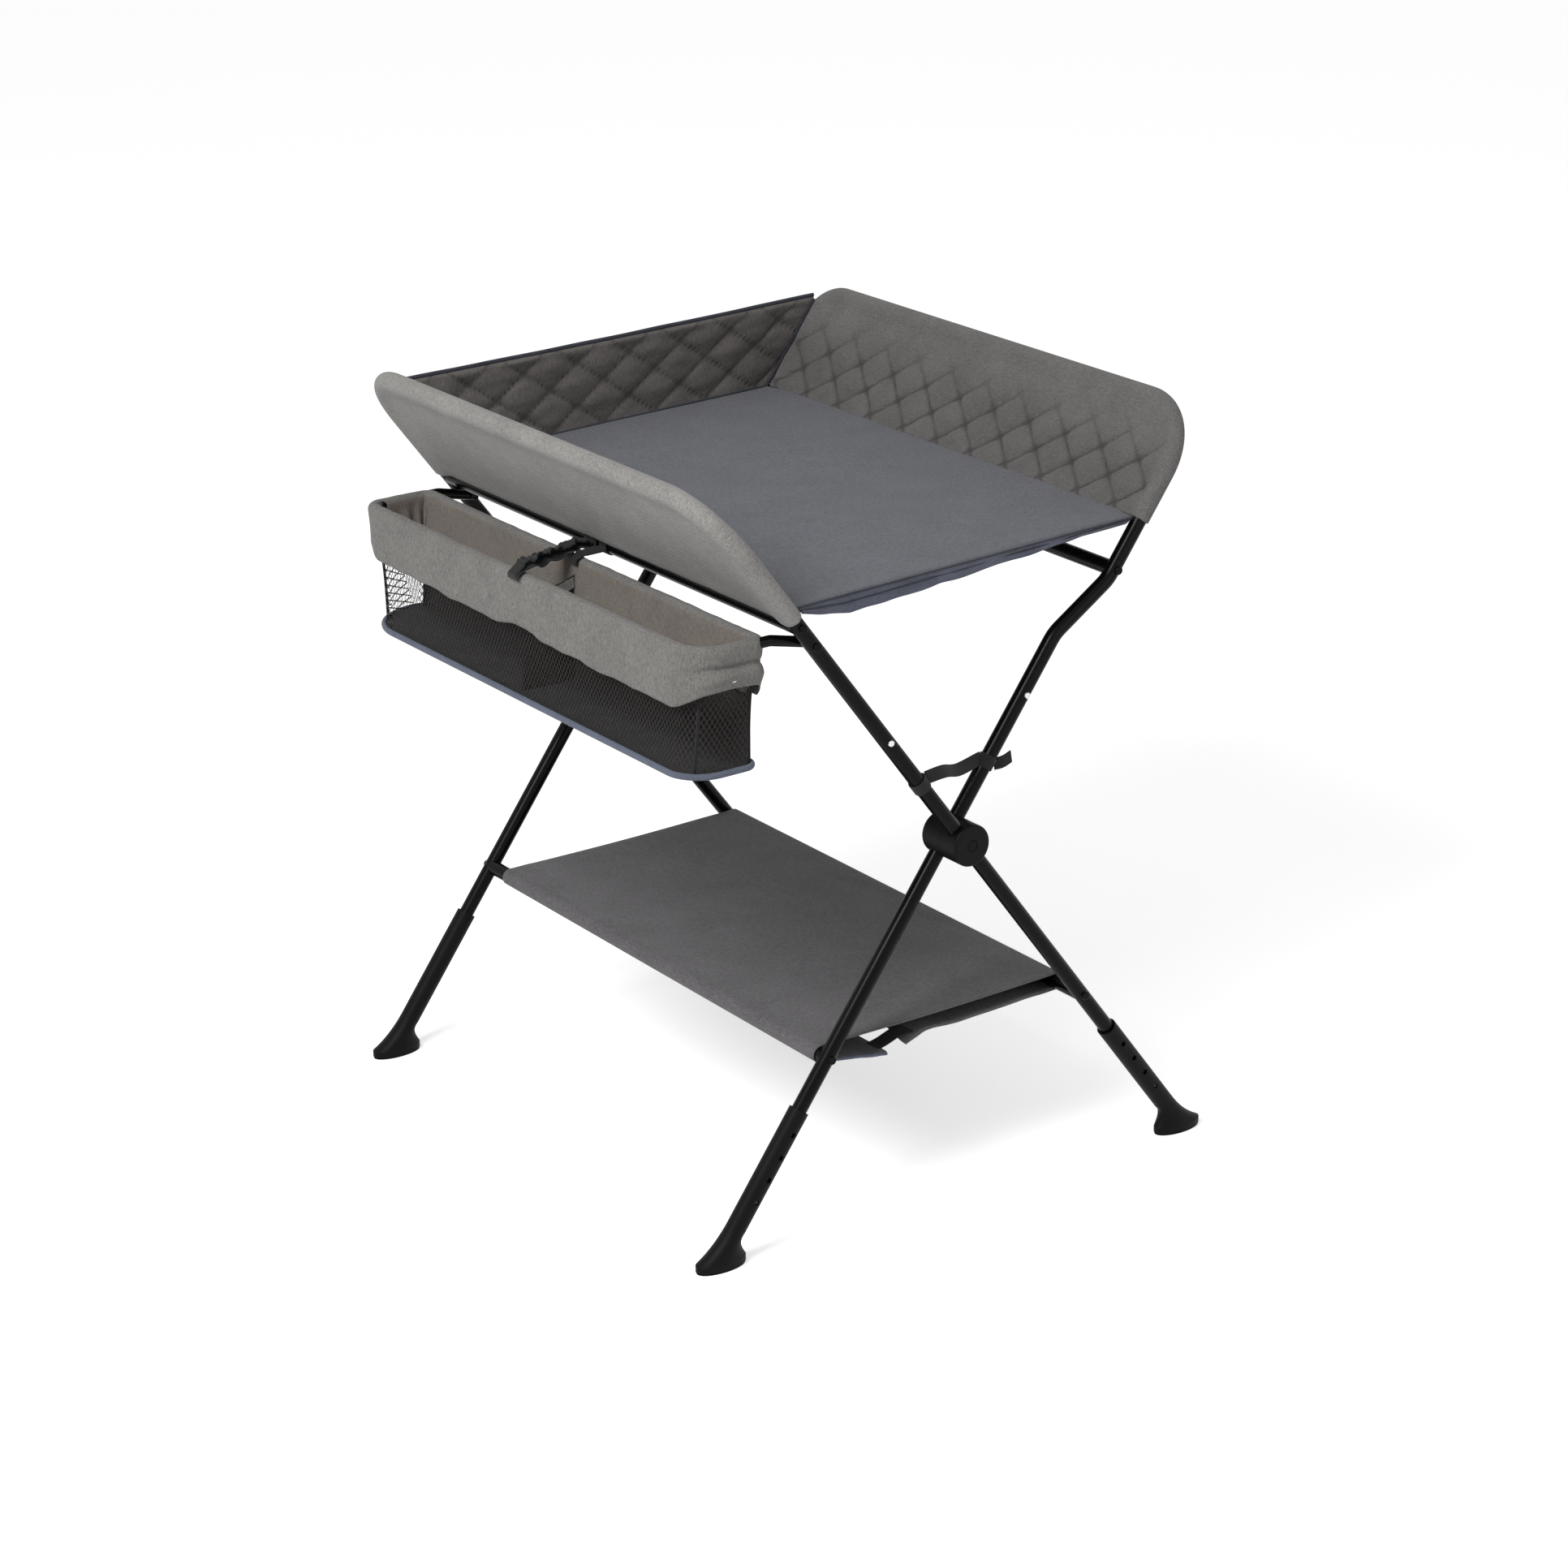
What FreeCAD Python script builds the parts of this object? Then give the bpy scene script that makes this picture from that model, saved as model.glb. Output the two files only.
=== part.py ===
"""Folding changing table: two crossed tube frames carry a walled mat, a shelf and a side basket.

Millimetres, +Z up. The user stands at the short open side and looks along +Y, with the basket on
the left (-X). The origin is the bottom centre of the table's box. Both frames are made upright,
with the hub at zero and the legs along Z, and are then leaned by side * leg_lean: the left frame
(side -1) carries the left wall and stands on the right feet, the right frame (side +1) the reverse.
"""
import FreeCAD, Part
import math
import os

V = FreeCAD.Vector

# Crossed frames
hub_height = 470.0          # hub axis above the floor, leg extensions in
leg_lean = 36.5             # each leg from the vertical, table open
frame_width = 765.0         # between the two leg planes of one frame
frame_offset = 34.0         # the right frame stands this far behind the left one
tube_d = 19.0
tube_wall = 1.2
rail_along = 590.0          # hub axis to the top rail, along the leg
rail_radius = 85.0          # centreline radius of the rail's corners
jog = 34.0                  # the right frame steps outward by this much
jog_start = 271.0
jog_end = 361.0
jog_radius = 50.0
splice_along = 212.0        # where the rail tube meets the leg tube
spigot_length = 62.0
spigot_wall = 1.2
leg_end_clear = 64.7        # lower end of the leg tube above the floor, along the leg

# Cross tubes
left_cross_along = 394.0
right_cross_along = 375.0
shelf_clear = 283.7         # shelf tubes above the floor, along the leg
plug_length = 18.0
screw_d = 5.0
screw_head_d = 11.0
screw_head_height = 3.0
screw_head_round = 1.8
screw_bite = 12.6           # reach of a screw past its leg, into the end plug

# Hubs
hub_d = 52.0
hub_wall = 16.0             # hub beyond each leg plane
hub_gap = 0.4               # between the two halves
hub_round = 3.0
bolt_d = 8.0
bolt_head_d = 14.0
bolt_head_height = 2.6

# Leg extensions and feet
sleeve_d = 25.0
sleeve_top_clear = 213.7    # above the floor, along the leg
sleeve_floor_clear = 61.7   # bottom of the sleeve's bore, likewise
flare_clear = 54.7          # where the sleeve starts to flare, likewise
foot_length = 69.0          # sole, across the table
foot_inset = 10.3           # middle of the sole, inward of the leg's own line at the floor
foot_lip = 10.0             # height of the sole's upright edge
waist_height = 26.0         # height of the section between the sleeve and the lip
waist_length = 38.0
waist_inset = 18.8
sole_thickness = 2.5
sole_inset = 1.0
adjust_pitch = 30.0
adjust_holes = 4

# Snap buttons
button_d = 8.0
button_along = 190.0
button_proud = 2.5
button_round = 0.8          # share of the proud height that is rounded
button_flange_d = 10.0
height_button_d = 6.0
height_button_proud = 1.9
height_button_flange_d = 8.0
flange_thickness = 1.0
button_travel = 4.0
spring_width = 6.0
spring_thickness = 0.8
spring_length = 30.0

# Walls, mat and rear panel
cover_padding = 2.5         # cloth and foam over each side of the rail
cover_round = 5.0
right_cover_start = 441.0   # lower edge of the right cover, along the leg
right_rear_corner = 60.0    # its rear top corner, drawn out to the rear panel
mat_rise = 342.0            # top of the mat above the hubs
mat_thickness = 12.0
panel_thickness = 12.0
panel_rise = 108.0          # rear panel above the mat
piping_d = 5.0
hem_thickness = 1.6
hem_ends = 4.0              # depth of the sagging hem at its two ends
hem_sag = 7.0

# Shelf
shelf_gap = 3.0             # between the cloth and the nearest legs
cloth_thickness = 1.6
shelf_flap = 92.0           # cloth folded back under the left tube
shelf_long_flap = 232.0     # and under the right one
tab_width = 22.0
tab_inset = 12.0

# Limiter strap
strap_thickness = 1.5
strap_width = 16.0
strap_left_along = 110.0
strap_right_along = 98.0
strap_tail = 20.0

# Basket
basket_pivot_along = 362.0
basket_tube_d = 13.0
basket_wall = 1.0
arm_past_pivot = 9.0
rim_rise = 302.0            # rim above the hubs
rim_outer_x = -361.0        # outer rail, from the hub plane
rim_inner_x = -275.0
arm_bend_x = -262.0
basket_corner = 40.0
basket_rear_corner = 28.0   # the outer one at the back
floor_rear_corner = 70.0    # the floor is rounder there
inner_corner = 12.0
inner_rod_d = 8.0
pivot_screw_d = 6.0
band_thickness = 1.2
band_drop = 57.0
basket_depth = 142.0
floor_thickness = 3.0
floor_spread = 13.0         # the basket's floor reaches this much further out than its rim
mesh_thickness = 1.2
divider_y = -10.0
stud_d = 10.0
stud_height = 2.0
stud_drop = 30.0
outer_strap_width = 30.0
inner_strap_width = 16.0
outer_strap_y = 18.0
inner_strap_y = -10.0
strap_skirt = 10.0

# Clearances
fit_gap = 0.1               # radial, tube in tube and pin in hole
cloth_gap = 0.3             # soft solids and sliding pieces
free_gap = 0.6              # buttons in their holes

leg_slant = math.radians(leg_lean)
floor_along = hub_height / math.cos(leg_slant)      # hub axis to the floor, along the leg
floor_reach = hub_height * math.tan(leg_slant)      # and across the table
shelf_along = shelf_clear - floor_along
leg_end = leg_end_clear - floor_along
sleeve_top = sleeve_top_clear - floor_along
sleeve_floor = sleeve_floor_clear - floor_along
flare_start = flare_clear - floor_along
foot_centre = floor_reach - foot_inset
waist_centre = floor_reach - waist_inset
hub_length = frame_offset + 2 * hub_wall            # both halves together
cover_thickness = tube_d + 2 * cover_padding
mat_top = hub_height + mat_rise
panel_top = mat_top + panel_rise
rim_height = hub_height + rim_rise
basket_floor = rim_height - basket_depth
half_width = (frame_width + frame_offset) / 2
shelf_width = 2 * (half_width - frame_offset - tube_d / 2 - shelf_gap)
left_cover_start = left_cross_along + tube_d / 2 + strap_thickness + 2 * cloth_gap
FRAMES = {
    "left": {"side": -1, "jog": 0.0, "front": -half_width, "rear": half_width - frame_offset,
             "cover": left_cover_start, "cross": left_cross_along, "foot": "right",
             "rear_corner": rail_radius + cover_thickness / 2},
    "right": {"side": 1, "jog": jog, "front": frame_offset - half_width, "rear": half_width,
              "cover": right_cover_start, "cross": right_cross_along, "foot": "left",
              "rear_corner": right_rear_corner},
}
HOLE_DEPTH = 2 * (tube_d + plug_length)     # goes through a leg and the end plug beside it
pieces = {}


def lean(shape, frame):
    """Turn an upright piece to its frame's lean and lift it to the hub."""
    shape.rotate(V(0, 0, 0), V(0, 1, 0), frame["side"] * leg_lean)
    shape.translate(V(0, 0, hub_height))
    return shape


def on_leg(frame, along, outward=0.0):
    """Position in the table of a point on a frame's leg plane: (x, z)."""
    x = frame["side"] * (outward * math.cos(leg_slant) + along * math.sin(leg_slant))
    return x, hub_height + along * math.cos(leg_slant) - outward * math.sin(leg_slant)


def inner_face_x(frame, height):
    """Where a wall cover's inner face lies at a height."""
    outward = frame["jog"] - cover_thickness / 2 - cloth_gap
    along = (height - hub_height + outward * math.sin(leg_slant)) / math.cos(leg_slant)
    return on_leg(frame, along, outward)[0]


def bent_wire(points, radii, closed=False):
    """Straight runs joined by tangent arcs, with one radius for each corner."""
    count = len(points)
    corners = list(range(count)) if closed else list(range(1, count - 1))
    arcs = []
    for index, radius in zip(corners, radii):
        corner = points[index]
        back = (points[index - 1] - corner).normalize()
        ahead = (points[(index + 1) % count] - corner).normalize()
        half = back.getAngle(ahead) / 2
        reach = radius / math.tan(half)
        middle = (back + ahead).normalize()
        crown = corner + middle * (radius / math.sin(half) - radius)
        arcs.append((corner + back * reach, crown, corner + ahead * reach))
    at = arcs[-1][2] if closed else points[0]
    edges = []
    for first, crown, last in arcs:
        edges += [Part.makeLine(at, first), Part.Arc(first, crown, last).toShape()]
        at = last
    if not closed:
        edges.append(Part.makeLine(at, points[-1]))
    return Part.Wire(edges)


def rod_along(points, radii, radius):
    """A round bar along a bent path."""
    circle = Part.makeCircle(radius, points[0], points[1] - points[0])
    return bent_wire(points, radii).makePipeShell([Part.Wire(circle)], True, False)


def tube_along(points, radii, diameter, wall):
    """A tube along a bent path."""
    return rod_along(points, radii, diameter / 2).cut(rod_along(points, radii, diameter / 2 - wall))


def bar(start, end, radius):
    """A straight round bar between two points."""
    return Part.makeCylinder(radius, (end - start).Length, start, end - start)


def prism(points, reach):
    """A closed outline of straight sides, pushed along a vector."""
    return Part.Face(Part.makePolygon(points + points[:1])).extrude(reach)


def domed(head, radius):
    """Round the outer rim of a round head that points along Y."""
    rims = [edge for edge in head.Edges if len(edge.Vertexes) == 1]
    outer = max(rims, key=lambda edge: abs(edge.CenterOfMass.y))
    return head.makeFillet(radius, [outer])


def leg_sides(frame):
    """The two leg planes of a frame, with the outward direction of each along Y."""
    return {"front": (frame["front"], -1), "rear": (frame["rear"], 1)}


# Frame tubes

def rail_points(frame):
    """Centreline of the upper U, from the front splice over the rail to the rear splice."""
    heights = [(0.0, splice_along)]
    if frame["jog"]:
        heights += [(0.0, jog_start), (frame["jog"], jog_end)]
    heights.append((frame["jog"], rail_along))
    front = [V(frame["side"] * out, frame["front"], up) for out, up in heights]
    rear = [V(frame["side"] * out, frame["rear"], up) for out, up in reversed(heights)]
    bends = [jog_radius, jog_radius] if frame["jog"] else []
    return front + rear, bends + [rail_radius, rail_radius] + bends[::-1]


def cross_holes(frame, along, outward, diameter):
    """A drill through both legs of a frame, along Y."""
    x = frame["side"] * outward
    drills = [bar(V(x, at - HOLE_DEPTH / 2, along), V(x, at + HOLE_DEPTH / 2, along), diameter / 2)
              for at, _ in leg_sides(frame).values()]
    return Part.makeCompound(drills)


def button_hole(at, way, along, diameter):
    """A drill through the outer wall of a tube only."""
    return bar(V(0, at, along), V(0, at + way * tube_d, along), diameter / 2 + free_gap / 2)


def rail_tube(frame):
    """The upper U, with a reduced spigot at each end that plugs into a leg."""
    points, bends = rail_points(frame)
    tube = tube_along(points, bends, tube_d, tube_wall)
    spigot_r = tube_d / 2 - tube_wall - fit_gap
    for at, way in leg_sides(frame).values():
        foot = V(0, at, splice_along - spigot_length)
        neck = V(0, at, splice_along + 2 * tube_wall)
        collar = bar(V(0, at, splice_along), neck, tube_d / 2 - tube_wall / 2)
        spigot = bar(foot, neck, spigot_r).fuse(collar).cut(bar(foot, neck, spigot_r - spigot_wall))
        tube = tube.fuse(spigot).cut(button_hole(at, way, button_along, button_d))
    tube = tube.cut(cross_holes(frame, frame["cross"], frame["jog"], screw_d + 2 * fit_gap))
    if frame["side"] < 0:
        tube = tube.cut(cross_holes(frame, basket_pivot_along, 0.0, pivot_screw_d + 2 * fit_gap))
    return lean(tube.removeSplitter(), frame)


def leg_tube(frame, at, way):
    """The lower straight tube of one leg, drilled for the hub, the shelf tube and both buttons."""
    top = splice_along - fit_gap
    tube = bar(V(0, at, leg_end), V(0, at, top), tube_d / 2)
    tube = tube.cut(bar(V(0, at, leg_end), V(0, at, top), tube_d / 2 - tube_wall))
    tube = tube.cut(cross_holes(frame, 0.0, 0.0, bolt_d + 2 * fit_gap))
    tube = tube.cut(cross_holes(frame, shelf_along, 0.0, screw_d + 2 * fit_gap))
    tube = tube.cut(button_hole(at, way, button_along, button_d))
    tube = tube.cut(button_hole(at, way, height_button_along(), height_button_d))
    return lean(tube, frame)


def height_button_along():
    """The height button rests in the lowest of the sleeve's holes."""
    return sleeve_holes()[-1]


def sleeve_holes():
    """Places of the adjusting holes, from the top down."""
    first = sleeve_top - adjust_pitch
    return [first - adjust_pitch * step for step in range(adjust_holes)]


def between_legs(frame, along, outward, radius, start=None, end=None):
    """A bar from leg to leg whose ends are coped to the legs."""
    x = frame["side"] * outward
    low = frame["front"] if start is None else start
    high = frame["rear"] if end is None else end
    shape = bar(V(x, low, along), V(x, high, along), radius)
    for at, _ in leg_sides(frame).values():
        shape = shape.cut(bar(V(x, at, along - tube_d), V(x, at, along + tube_d), tube_d / 2 + fit_gap))
    solids = sorted(shape.Solids, key=lambda solid: solid.Volume)
    return solids[-1]


def cross_tube(frame, along, outward):
    """A tube between the two legs of a frame, bored for its end plugs."""
    tube = between_legs(frame, along, outward, tube_d / 2)
    bore = between_legs(frame, along, outward, tube_d / 2 - tube_wall)
    return lean(tube.cut(bore), frame)


def end_plugs(frame):
    """Plastic plugs in both ends of both cross tubes, which the screws bite into."""
    plugs = []
    radius = tube_d / 2 - tube_wall - fit_gap
    reach = tube_d / 2 + plug_length
    for along, outward in ((frame["cross"], frame["jog"]), (shelf_along, 0.0)):
        drill = cross_holes(frame, along, outward, screw_d + 2 * fit_gap)
        for at, way in leg_sides(frame).values():
            ends = sorted((at, at - way * reach))
            plug = between_legs(frame, along, outward, radius, *ends)
            plugs.append(lean(plug.cut(drill), frame))
    return Part.makeCompound(plugs)


def screw(x, along, at, way, diameter, length):
    """A domed screw through a leg: its head lies on the leg's outer side."""
    face = at + way * (tube_d / 2 + fit_gap)
    head = bar(V(x, face, along), V(x, face + way * screw_head_height, along), screw_head_d / 2)
    shank = bar(V(x, face, along), V(x, face - way * length, along), diameter / 2)
    return domed(head, screw_head_round).fuse(shank)


def tube_screws(frame):
    """The screws that hold a frame's two cross tubes."""
    screws = []
    for along, outward in ((frame["cross"], frame["jog"]), (shelf_along, 0.0)):
        for at, way in leg_sides(frame).values():
            one = screw(frame["side"] * outward, along, at, way, screw_d, tube_d + screw_bite)
            screws.append(lean(one, frame))
    return Part.makeCompound(screws)


# Hubs

def hub_half(frame, end):
    """One half of a hub: a drum on one leg, with a seat for the pivot bolt's head or nut."""
    joint_plane = (FRAMES["left"][end] + FRAMES["right"][end]) / 2
    side = frame["side"]
    inner = joint_plane + side * hub_gap / 2
    outer = joint_plane + side * hub_length / 2
    drum = bar(V(0, inner, 0), V(0, outer, 0), hub_d / 2)
    circles = [edge for edge in drum.Edges if len(edge.Vertexes) == 1]
    rims = [edge for edge in circles if abs(edge.CenterOfMass.y - outer) < fit_gap]
    drum = drum.makeFillet(hub_round, rims)
    at = frame[end]
    drum = drum.cut(bar(V(0, at, -hub_d), V(0, at, hub_d), tube_d / 2 + fit_gap))
    drum = drum.cut(bar(V(0, inner, 0), V(0, outer, 0), bolt_d / 2 + fit_gap))
    seat = outer - side * (bolt_head_height + cloth_gap)
    drum = drum.cut(bar(V(0, seat, 0), V(0, outer, 0), bolt_head_d / 2 + cloth_gap))
    return lean(drum, frame)


def hub_bolts():
    """The two pivot bolts, with their heads on the table's outer sides."""
    bolts = []
    for end, way in (("front", -1), ("rear", 1)):
        plane = (FRAMES["left"][end] + FRAMES["right"][end]) / 2
        face = plane + way * hub_length / 2
        under = face - way * bolt_head_height
        head = bar(V(0, under, 0), V(0, face, 0), bolt_head_d / 2)
        tip = plane - way * (hub_length / 2 - bolt_head_height / 2)
        bolt = domed(head, bolt_head_height / 2).fuse(bar(V(0, under, 0), V(0, tip, 0), bolt_d / 2))
        bolt.translate(V(0, 0, hub_height))
        bolts.append(bolt)
    return Part.makeCompound(bolts)


def hub_nuts():
    """The two pivot nuts, sunk in the hubs' inner sides."""
    nuts = []
    for end, way in (("front", -1), ("rear", 1)):
        plane = (FRAMES["left"][end] + FRAMES["right"][end]) / 2
        face = plane - way * hub_length / 2
        corners = [V(bolt_head_d / 2 * math.cos(math.radians(60 * step)), face,
                     bolt_head_d / 2 * math.sin(math.radians(60 * step))) for step in range(6)]
        nut = prism(corners, V(0, way * bolt_head_height, 0))
        nut = nut.cut(bar(V(0, plane, 0), V(0, face - way, 0), bolt_d / 2 + fit_gap))
        nut.translate(V(0, 0, hub_height))
        nuts.append(nut)
    return Part.makeCompound(nuts)


# Leg extensions

def oval(centre_x, height, length, width):
    """A level oval section of the foot."""
    ellipse = Part.Ellipse(V(centre_x, 0, height), length / 2, width / 2)
    return Part.Wire(ellipse.toShape())


def extension(frame, at, way):
    """A sleeve over the leg's end with its flared foot, and an inner keyway for the height button."""
    side = -frame["side"]
    foot_width = frame_offset - 2 * free_gap
    sleeve = lean(bar(V(0, 0, flare_start), V(0, 0, sleeve_top), sleeve_d / 2), frame)
    neck = lean(Part.Wire(Part.makeCircle(sleeve_d / 2, V(0, 0, flare_start))), frame)
    waist = oval(side * waist_centre, waist_height, waist_length, (sleeve_d + foot_width) / 2)
    lip = oval(side * foot_centre, foot_lip, foot_length, foot_width)
    flare = Part.makeLoft([neck, waist, lip], True, False)
    edge = Part.Face(lip).extrude(V(0, 0, sole_thickness - foot_lip))
    body = sleeve.fuse(flare).fuse(edge).removeSplitter()
    bore = bar(V(0, 0, sleeve_floor), V(0, 0, sleeve_top + 1), tube_d / 2 + cloth_gap)
    groove_half = height_button_d / 2 + free_gap / 2
    groove_reach = tube_d / 2 + height_button_proud + cloth_gap
    groove = Part.makeBox(2 * groove_half, groove_reach, sleeve_top + 1 - sleeve_floor,
                          V(-groove_half, 0 if way > 0 else -groove_reach, sleeve_floor))
    cuts = [bore, groove]
    cuts += [bar(V(0, 0, along), V(0, way * sleeve_d, along), groove_half) for along in sleeve_holes()]
    for cut in cuts:
        body = body.cut(lean(cut, frame))
    body.translate(V(0, at, 0))
    return body


def sole(frame, at):
    """The rubber pad under a foot."""
    outline = oval(-frame["side"] * foot_centre, 0.0, foot_length - 2 * sole_inset,
                   frame_offset - 2 * free_gap - 2 * sole_inset)
    pad = Part.Face(outline).extrude(V(0, 0, sole_thickness))
    pad.translate(V(0, at, 0))
    return pad


# Snap buttons

def snap_button(frame, at, way, along, sizes):
    """A button head on a flange that stops it inside the tube."""
    head_d, flange_d, proud, bore_r = sizes
    flange_top = math.sqrt(bore_r ** 2 - (flange_d / 2) ** 2) - cloth_gap
    tip = tube_d / 2 + proud
    stem = bar(V(0, at + way * (flange_top - flange_thickness), along),
               V(0, at + way * tip, along), head_d / 2)
    flange = bar(V(0, at + way * (flange_top - flange_thickness), along),
                 V(0, at + way * flange_top, along), flange_d / 2)
    return lean(domed(stem, proud * button_round).fuse(flange), frame)


def button_spring(at, way, along, flange_d, bore_r):
    """A bent leaf behind a button, drawn pressed, so that the button can travel down to it."""
    flange_top = math.sqrt(bore_r ** 2 - (flange_d / 2) ** 2) - cloth_gap
    upper = flange_top - flange_thickness - button_travel - cloth_gap
    lower = -math.sqrt(bore_r ** 2 - (spring_width / 2) ** 2) + fit_gap
    toe = along - spring_length / 2
    heel = along + spring_length / 2
    half = spring_thickness / 2
    outline = [V(0, at + way * lower, toe), V(0, at + way * lower, heel),
               V(0, at + way * (upper - half), heel), V(0, at + way * upper, heel - half),
               V(0, at + way * upper, along - half),
               V(0, at + way * (upper - spring_thickness), along - half),
               V(0, at + way * (upper - spring_thickness), heel - spring_thickness),
               V(0, at + way * (lower + spring_thickness), heel - spring_thickness),
               V(0, at + way * (lower + spring_thickness), toe)]
    leaf = prism(outline, V(spring_width, 0, 0))
    leaf.translate(V(-spring_width / 2, 0, 0))
    return leaf


SPLICE_BUTTON = (button_d, button_flange_d, button_proud,
                 tube_d / 2 - tube_wall - fit_gap - spigot_wall)
HEIGHT_BUTTON = (height_button_d, height_button_flange_d, height_button_proud,
                 tube_d / 2 - tube_wall)


def button_springs(frame):
    """The four leaf springs of one frame."""
    leaves = []
    for at, way in leg_sides(frame).values():
        for along, sizes in ((button_along, SPLICE_BUTTON), (height_button_along(), HEIGHT_BUTTON)):
            leaves.append(lean(button_spring(at, way, along, sizes[1], sizes[3]), frame))
    return Part.makeCompound(leaves)


# Walls, mat and rear panel

def wall_cover(frame):
    """The padded sleeve over an upper U: one closed panel with a channel for the tube."""
    half = cover_thickness / 2
    centre_x = frame["side"] * frame["jog"]
    front = frame["front"] - half
    rear = frame["rear"] + half
    corner = rail_radius + half
    outline = [V(centre_x - half, front, frame["cover"]), V(centre_x - half, rear, frame["cover"]),
               V(centre_x - half, rear, rail_along + half), V(centre_x - half, front, rail_along + half)]
    radii = [cover_round, cover_round, frame["rear_corner"], corner]
    face = Part.Face(bent_wire(outline, radii, closed=True))
    panel = face.extrude(V(cover_thickness, 0, 0))
    flat_rims = [edge for edge in panel.Edges
                 if edge.BoundBox.XLength < fit_gap and edge.BoundBox.ZMin > frame["cover"] + fit_gap]
    panel = panel.makeFillet(cover_round, flat_rims)
    points, bends = rail_points(frame)
    return lean(panel.cut(rod_along(points, bends, tube_d / 2 + cloth_gap)), frame)


def between_walls(low, high, spans):
    """A solid from the left cover to the right one; spans gives its Y range at each side."""
    sections = []
    for name, (y_low, y_high) in spans.items():
        frame = FRAMES[name]
        bottom = inner_face_x(frame, low)
        top = inner_face_x(frame, high)
        corners = [V(bottom, y_low, low), V(bottom, y_high, low), V(top, y_high, high), V(top, y_low, high)]
        sections.append(Part.makePolygon(corners + corners[:1]))
    return Part.makeLoft(sections, True, True)


def panel_span(frame):
    """Front and rear faces of the rear panel beside a frame's rear leg."""
    return frame["rear"] - panel_thickness / 2, frame["rear"] + panel_thickness / 2


def mattress_pad():
    """The mat that the child lies on, from wall to wall."""
    spans = {name: (frame["front"], panel_span(frame)[0] - cloth_gap) for name, frame in FRAMES.items()}
    return between_walls(mat_top - mat_thickness, mat_top, spans)


def rear_wall_panel():
    """The upright padded panel behind the mat."""
    spans = {name: panel_span(frame) for name, frame in FRAMES.items()}
    return between_walls(mat_top - mat_thickness, panel_top, spans)


def rear_panel_piping():
    """The bound cord along the rear panel's top edge."""
    height = panel_top + piping_d / 2
    ends = [V(inner_face_x(frame, height) - frame["side"] * piping_d / 2, frame["rear"], height)
            for frame in FRAMES.values()]
    return bar(ends[0], ends[1], piping_d / 2)


def front_hem():
    """The loose bound edge that sags below the mat's open front edge."""
    top = mat_top - mat_thickness - cloth_gap
    corners = []
    for frame in FRAMES.values():
        corners.append(V(inner_face_x(frame, top - hem_ends) - frame["side"] * hem_ends, frame["front"], top))
    left, right = corners
    middle = (left + right) * 0.5 - V(0, 0, hem_ends + hem_sag)
    drop = V(0, 0, -hem_ends)
    edges = [Part.makeLine(left, right), Part.makeLine(right, right + drop),
             Part.Arc(right + drop, middle, left + drop).toShape(), Part.makeLine(left + drop, left)]
    return Part.Face(Part.Wire(edges)).extrude(V(0, hem_thickness, 0))


# Shelf

def shelf_cloth():
    """One cloth over both shelf tubes, with its ends folded back underneath."""
    left_x, height = on_leg(FRAMES["right"], shelf_along)
    right_x = -left_x
    inner_r = tube_d / 2 + cloth_gap
    outer_r = inner_r + cloth_thickness
    pieces_of_loop = []
    for x, side, reach in ((left_x, -1, shelf_flap), (right_x, 1, shelf_long_flap)):
        ring = bar(V(x, 0, height), V(x, shelf_width, height), outer_r)
        ring = ring.cut(bar(V(x, 0, height), V(x, shelf_width, height), inner_r))
        keep_x = x if side > 0 else x - outer_r
        keep = Part.makeBox(outer_r, shelf_width, 2 * outer_r, V(keep_x, 0, height - outer_r))
        flap_x = x - reach if side > 0 else x
        flap = Part.makeBox(reach, shelf_width, cloth_thickness, V(flap_x, 0, height - outer_r))
        pieces_of_loop += [ring.common(keep), flap]
    deck = Part.makeBox(right_x - left_x, shelf_width, cloth_thickness, V(left_x, 0, height + inner_r))
    for piece in pieces_of_loop:
        deck = deck.fuse(piece)
    deck = deck.removeSplitter()
    deck.translate(V(0, -shelf_width / 2, 0))
    return deck


def shelf_tabs():
    """Webbing tabs that join the two folded ends under the shelf."""
    left_x, height = on_leg(FRAMES["right"], shelf_along)
    under = height - tube_d / 2 - cloth_gap - cloth_thickness
    start = left_x + shelf_flap - tab_inset
    length = -left_x - shelf_long_flap + tab_inset - start
    tabs = []
    for y in (tab_width / 2 - shelf_width / 2, -tab_width / 2, shelf_width / 2 - tab_width - tab_width / 2):
        corner = V(start, y, under - strap_thickness - fit_gap)
        tabs.append(Part.makeBox(length, tab_width, strap_thickness, corner))
    return Part.makeCompound(tabs)


# Limiter strap above the front hub

def strap_loop(frame, along):
    """The webbing loop around one leg."""
    low = V(0, frame["front"], along - strap_width / 2)
    high = V(0, frame["front"], along + strap_width / 2)
    inner_r = tube_d / 2 + cloth_gap
    return lean(bar(low, high, inner_r + strap_thickness).cut(bar(low, high, inner_r)), frame)


def strap_clear(frame, along):
    """The space of a leg inside its loop."""
    reach = 3 * strap_width
    low = V(0, frame["front"], along - reach)
    high = V(0, frame["front"], along + reach)
    return lean(bar(low, high, tube_d / 2 + cloth_gap), frame)


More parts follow.
